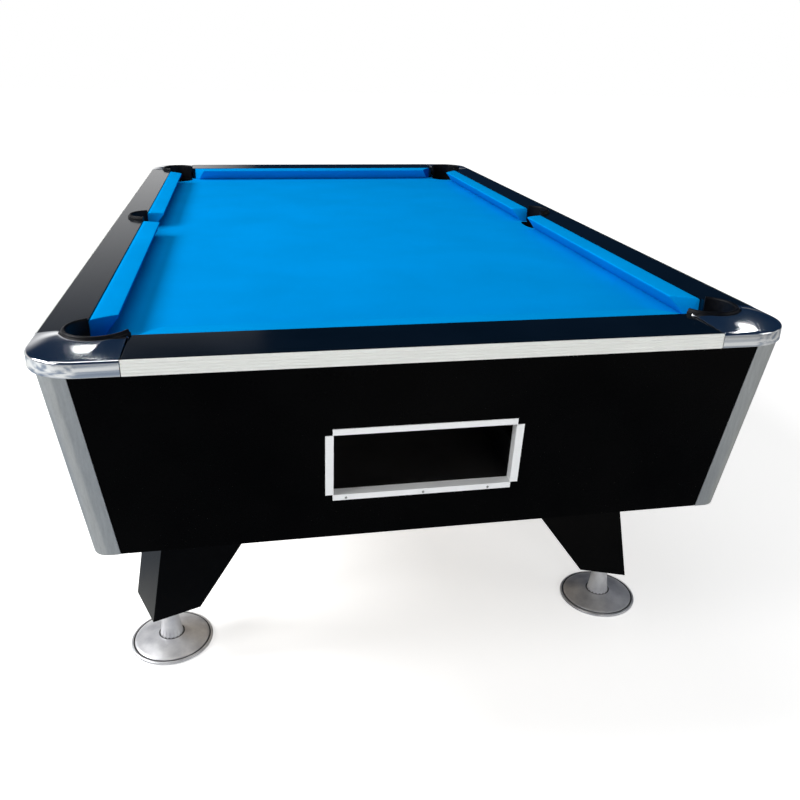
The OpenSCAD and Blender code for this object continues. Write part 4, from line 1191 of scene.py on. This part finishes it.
@dataclass
class Cabinet:
    """The boards, posts, legs, rails and trims round the bed."""

    board_edge: float = 0.0009
    leg_edge: float = 0.0018
    rail_edge: float = 0.0016
    post_edge: float = 0.0007

    def build(self) -> None:
        """Builds every outer piece of the cabinet."""
        for side in ("front", "rear", "left", "right"):
            softened(f"{side}_board", f"panel_{side}", PANEL, "laminate_black", self.board_edge)
            softened(f"rail_{side}", f"rail_top_{side}", RAIL_TOP, "laminate_black", self.rail_edge)
        for label in (corner.label for corner in Corner):
            softened(f"leg_{label}", f"leg_clad_{label}", LEG_BLACK, "laminate_black", self.leg_edge)
            softened(f"corner_post_{label}", f"post_{label}", POST_METAL, "satin_aluminium", self.post_edge,
                     sharp=40.0)
        trim = EdgeTrim()
        for side, finish in (("front", TRIM_ACROSS), ("rear", TRIM_ACROSS), ("left", TRIM_ALONG_SHADED),
                             ("right", TRIM_ALONG_SHADED)):
            trim.build(side, finish)


@dataclass
class EdgeTrim:
    """Aluminium trim along an edge of the rails, with shallow ribs."""

    thickness: float = 0.004
    ribs: int = 5
    groove: float = 0.0009
    groove_power: int = 4
    rib_steps: int = 8

    def section(self) -> list[Pair]:
        """Gives the trim's section.

        Returns:
            Depth behind the outer face, and height, of each point.
        """
        pitch = (LINES.rail_top - LINES.trim_low) / self.ribs
        points = [(self.thickness, LINES.trim_low)]
        for i in range(self.ribs):
            for k in range(0 if i == 0 else 1, self.rib_steps + 1):
                s = k / self.rib_steps
                depth = self.groove * abs(2 * s - 1) ** self.groove_power
                points.append((depth, LINES.trim_low + (i + s) * pitch))
        return [*points, (self.thickness, LINES.rail_top)]

    def build(self, side: str, finish: Finish) -> None:
        """Builds the trim of one side.

        Args:
            side: "front", "rear", "left" or "right".
            finish: Its finish.
        """
        node = f"edge_trim_{side}"
        low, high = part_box(node)
        across = side in ("front", "rear")
        start, end = (low[0], high[0]) if across else (low[1], high[1])
        points = []
        for depth, height in self.section():
            out = (LINES.half_length if across else LINES.half_width) - depth
            out = -out if side in ("front", "left") else out
            points.append(Vector((start, out, height) if across else (out, start, height)))
        mesh = prism(points, Vector((end - start, 0, 0) if across else (0, end - start, 0)))
        Piece(f"trim_{side}", finish, "satin_aluminium", replaces=[node]).make(mesh, sharp=28.0)


@dataclass
class WindowFrame:
    """Angle strips round the ball window, with the screws of the lower one."""

    centre_x: float = -0.012
    strip_end: float = 0.0105
    strip: float = 0.002
    sill_up: float = 0.0946
    screw_x: tuple[float, ...] = (-0.145, 0.0, 0.125)
    edge: float = 0.0004

    def build(self) -> None:
        """Builds the strips and their screws."""
        softened("window_trim", "window_strips", WINDOW_METAL, "satin_aluminium", self.edge)
        up = self.sill_up - self.strip_end / 2
        places = [LINES.on_front_board(self.centre_x + x, up, self.strip) for x in self.screw_x]
        out = LINES.on_front_board(0, 0, 1) - LINES.on_front_board(0, 0, 0)
        small = Screws(radius=0.0024, height=0.0012, socket=0.001)
        small.build("window_screws", ZINC, "steel", places, out.normalized())


@dataclass
class CoinSide:
    """The coin mechanism, its slide and the cash door on the right side."""

    coin_y: float = -0.960
    plate_half: Pair = (0.058, 0.033)
    plate_t: float = 0.003
    coin_up: float = 0.168
    door_y: float = -1.050
    door_w: float = 0.150
    door_up: float = 0.024
    door_h: float = 0.08805
    door_frame: float = 0.019
    screw_inset: float = 0.006

    def plate_screws(self) -> list[Vector]:
        """Gives the places of the coin plate's screws."""
        across, up = (half - self.screw_inset for half in self.plate_half)
        return [LINES.on_right_board(self.coin_y + a * across, self.coin_up + b * up, self.plate_t)
                for a in (-1, 1) for b in (-1, 1)]

    def door_screws(self) -> list[Vector]:
        """Gives the places of the cash door frame's screws."""
        half = self.door_frame / 2
        return [LINES.on_right_board(y, up, self.plate_t)
                for y in (self.door_y - half, self.door_y + self.door_w + half)
                for up in (self.door_up - half, self.door_up + self.door_h + half)]

    def build(self) -> None:
        """Builds the coin side's pieces."""
        softened("coin_mech", "coin_plate", CHROME, "chrome", 0.0008)
        softened("coin_slide", "coin_tongue", CHROME, "chrome", 0.0006, "coin_slider")
        softened("cash_door_frame", "cash_surround", COATING, "door_black", 0.0006)
        softened("cash_door", "cash_leaf", COATING, "door_black", 0.0006, "cash_door_leaf")
        softened("cash_lock", "cash_barrel", CHROME, "chrome", 0.0004, "lock_barrel")
        out = (LINES.on_right_board(0, 0, 1) - LINES.on_right_board(0, 0, 0)).normalized()
        Screws().build("coin_plate_screws", CHROME, "chrome", self.plate_screws(), out)
        Screws().build("cash_door_screws", ZINC, "steel", self.door_screws(), out)


@dataclass
class HiddenWorks:
    """Solids that keep their shape and only get their finish."""

    def build(self) -> None:
        """Dresses the solids inside and under the table."""
        finishes = {
            "slate": SLATE, "slate_bearers": TIMBER, "cabinet_floor": PLYWOOD, "trap_chute": PLYWOOD,
            "gutter_left": PLASTIC, "gutter_right": PLASTIC, "near_chute": PLASTIC, "trap_channel": PLASTIC,
            "ball_tray": PLASTIC, "cash_box": ZINC, "leg_bolts": ZINC, "push_rod": ZINC, "trap_flap": ZINC,
            "trap_crank": ZINC,
        }
        for name, finish in finishes.items():
            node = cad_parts[name]
            node.data.materials.clear()
            node.data.materials.append(finish.material())
            LOG.info("dressed %s", name)


@dataclass(frozen=True)
class Lamp:
    """A soft square lamp."""

    name: str
    place: tuple[float, float, float]
    aim: tuple[float, float, float]
    size: Pair
    power: float
    mirrored: bool = True

    def build(self) -> None:
        """Hangs the lamp and points it, and hides it from the gloss where it isn't mirrored."""
        data = bpy.data.lights.new(self.name, "AREA")
        data.shape = "RECTANGLE"
        data.size, data.size_y = self.size
        data.energy = self.power
        lamp = bpy.data.objects.new(self.name, data)
        lamp.location = self.place
        lamp.rotation_euler = (Vector(self.aim) - Vector(self.place)).to_track_quat("-Z", "Y").to_euler()
        lamp.visible_glossy = self.mirrored
        bpy.context.scene.collection.objects.link(lamp)


LAMPS = (
    Lamp("overhead", (-0.6, 0.2, 3.4), (0, 0, 0.8), (2.0, 2.6), 30.0),
    Lamp("left_window", (-6.0, 0.6, 4.9), (0, 0, 0.8), (2.6, 2.6), 430.0),
    Lamp("key", (-3.6, -2.2, 2.8), (0, -0.2, 0.5), (1.5, 1.5), 70.0),
    Lamp("fill", (3.2, -2.6, 1.9), (0, 0, 0.5), (1.6, 1.6), 12.0),
    Lamp("front", (0.6, -5.2, 1.3), (0, -1.2, 0.6), (2.2, 1.2), 62.0, mirrored=False),
    Lamp("left_box", (-1.1, 1.22, 2.08), (-0.55, -1.19, 0.83), (0.12, 0.12), 1.0),
    Lamp("right_box", (2.0, 0.60, 1.94), (0.6, -1.19, 0.83), (0.10, 0.07), 0.55),
)


@dataclass
class Studio:
    """The pale floor, the light and the surroundings that the gloss shows."""

    floor_size: float = 60.0
    floor_z: float = -0.0006
    ambient: float = 0.19
    floor_pale: Colour = (0.86, 0.86, 0.86)
    floor_mirrored: tuple[Colour, Colour] = ((0.08, 0.12, 0.18), (0.56, 0.57, 0.56))
    floor_patches: Pair = (0.40, 0.56)
    floor_rough: float = 0.9
    floor_glow: Pair = (0.57, 0.93)
    floor_fade: Pair = (1.6, 4.5)
    mirrored_glow: float = 0.14
    room_front: tuple[Colour, Colour] = ((0.10, 0.15, 0.25), (0.60, 0.61, 0.62))
    room_above: Colour = (0.007, 0.020, 0.048)
    room_patches: Pair = (0.42, 0.58)
    front_span: Pair = (0.25, -0.25)
    right_spans: tuple[Pair, Pair] = ((-0.08, 0.02), (0.1, 0.3))
    above_span: Pair = (0.06, 0.34)
    white: Colour = (1.0, 1.0, 1.0)

    def build_floor(self) -> None:
        """Lays the floor, which keeps the table's shadow."""
        mesh = bmesh.new()
        bmesh.ops.create_grid(mesh, x_segments=2, y_segments=2, size=self.floor_size / 2)
        bmesh.ops.translate(mesh, vec=(0, 0, self.floor_z), verts=mesh.verts)
        data = bpy.data.meshes.new("studio_floor")
        mesh.to_mesh(data)
        mesh.free()
        floor = bpy.data.objects.new("studio_floor", data)
        bpy.context.scene.collection.objects.link(floor)
        material = bpy.data.materials.new("studio_floor")
        material.use_nodes = True
        tree = material.node_tree
        place = Graph(tree).add("ShaderNodeTexCoord").outputs["Object"]
        canvas = Canvas(tree, tree.nodes["Principled BSDF"], place)
        path = canvas.add("ShaderNodeLightPath").outputs
        patches = canvas.ranged(canvas.noise(place, 0.9, 2.0), 0.0, 1.0, self.floor_patches)
        below = canvas.tinted(patches, *self.floor_mirrored)
        away = canvas.vector("LENGTH", place).outputs["Value"]
        fading = canvas.ranged(away, *self.floor_glow, self.floor_fade)
        direct = canvas.math("MULTIPLY", path["Is Camera Ray"], fading)
        mirrored = canvas.math("MAXIMUM", path["Is Glossy Ray"], path["Is Transmission Ray"])
        glow = canvas.math("MAXIMUM", direct, canvas.math("MULTIPLY", mirrored, self.mirrored_glow))
        canvas.set(Base_Color=canvas.tinted(path["Is Glossy Ray"], self.floor_pale, below),
                   Roughness=self.floor_rough, Specular_IOR_Level=0.0,
                   Emission_Color=(*self.white, 1.0), Emission_Strength=glow)
        data.materials.append(material)

    def build_world(self) -> None:
        """Makes the surroundings: white behind the table, and a dim hall above for the gloss."""
        world = bpy.data.worlds.new("studio")
        world.use_nodes = True
        graph = Graph(world.node_tree)
        world.node_tree.nodes.clear()
        path = graph.add("ShaderNodeLightPath").outputs
        mirrored = graph.math("MAXIMUM", path["Is Glossy Ray"], path["Is Transmission Ray"])
        seen = graph.math("MAXIMUM", path["Is Camera Ray"], mirrored)
        aim = graph.add("ShaderNodeTexCoord").outputs["Generated"]
        parts = graph.split(aim)
        patches = graph.ranged(graph.noise(aim, 3.2, 2.0), 0.0, 1.0, self.room_patches)
        front = graph.tinted(patches, *self.room_front)
        near = graph.ranged(parts["Y"], 0.0, 1.0, self.front_span)
        low = graph.tinted(near, self.white, front)
        across, along = (graph.ranged(parts[a], 0.0, 1.0, s) for a, s in zip("XY", self.right_spans))
        above = graph.ranged(parts["Z"], 0.0, 1.0, self.above_span)
        dim = graph.math("MAXIMUM", graph.math("MULTIPLY", across, along), above)
        hall = graph.tinted(dim, low, self.room_above)
        backdrop = graph.tinted(path["Is Camera Ray"], hall, self.white)
        shown = graph.add("ShaderNodeBackground", {"Color": backdrop, "Strength": 1.0}).outputs[0]
        even = {"Color": (*self.white, 1.0), "Strength": self.ambient}
        lit = graph.add("ShaderNodeBackground", even).outputs[0]
        mix = graph.add("ShaderNodeMixShader", {0: seen, 1: lit, 2: shown}).outputs[0]
        graph.add("ShaderNodeOutputWorld", {"Surface": mix})
        bpy.context.scene.world = world

    def build(self) -> None:
        """Sets up the floor, the world and the lamps."""
        self.build_floor()
        self.build_world()
        for lamp in LAMPS:
            lamp.build()
        bpy.context.scene.view_settings.view_transform = "Standard"


@dataclass(frozen=True)
class ViewPoint:
    """The camera, as fitted to the straight edges of the photographed table."""

    place: tuple[float, float, float] = (-0.316, -2.444, 1.268)
    yaw: float = 0.1915
    pitch: float = 0.3946
    roll: float = 0.0212
    lens: float = 35.9
    shift: Pair = (0.006375, -0.0116)

    def build(self) -> None:
        """Puts the camera in place."""
        ahead = Vector((math.sin(self.yaw) * math.cos(self.pitch), math.cos(self.yaw) * math.cos(self.pitch),
                        -math.sin(self.pitch)))
        level = Vector((math.cos(self.yaw), -math.sin(self.yaw), 0))
        up = level.cross(ahead)
        right = math.cos(self.roll) * level + math.sin(self.roll) * up
        top = math.cos(self.roll) * up - math.sin(self.roll) * level
        data = bpy.data.cameras.new("camera")
        data.lens = self.lens
        data.sensor_width = 36.0
        data.shift_x, data.shift_y = self.shift
        camera = bpy.data.objects.new("camera", data)
        turn = Matrix((right, top, -ahead)).transposed().to_4x4()
        camera.matrix_world = Matrix.Translation(self.place) @ turn
        bpy.context.scene.collection.objects.link(camera)
        bpy.context.scene.camera = camera


def main() -> None:
    """Builds the table's looks, part by part."""
    logging.basicConfig(level=logging.INFO, format="%(name)s: %(message)s")
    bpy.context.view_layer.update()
    ViewPoint().build()
    Studio().build()
    Cabinet().build()
    HiddenWorks().build()
    PlayingBed().build()
    casting, liner, cushion, foot = CornerCasting(), PocketLiner(), RailCushion(), LevellingFoot()
    for corner in Corner:
        casting.build(corner)
        liner.build_corner(corner)
        cushion.build_side(corner)
        foot.build(corner)
    liner.build_sides()
    for end in ("front", "rear"):
        cushion.build_end(end)
    WindowFrame().build()
    CoinSide().build()


if __name__ == "__main__":
    main()
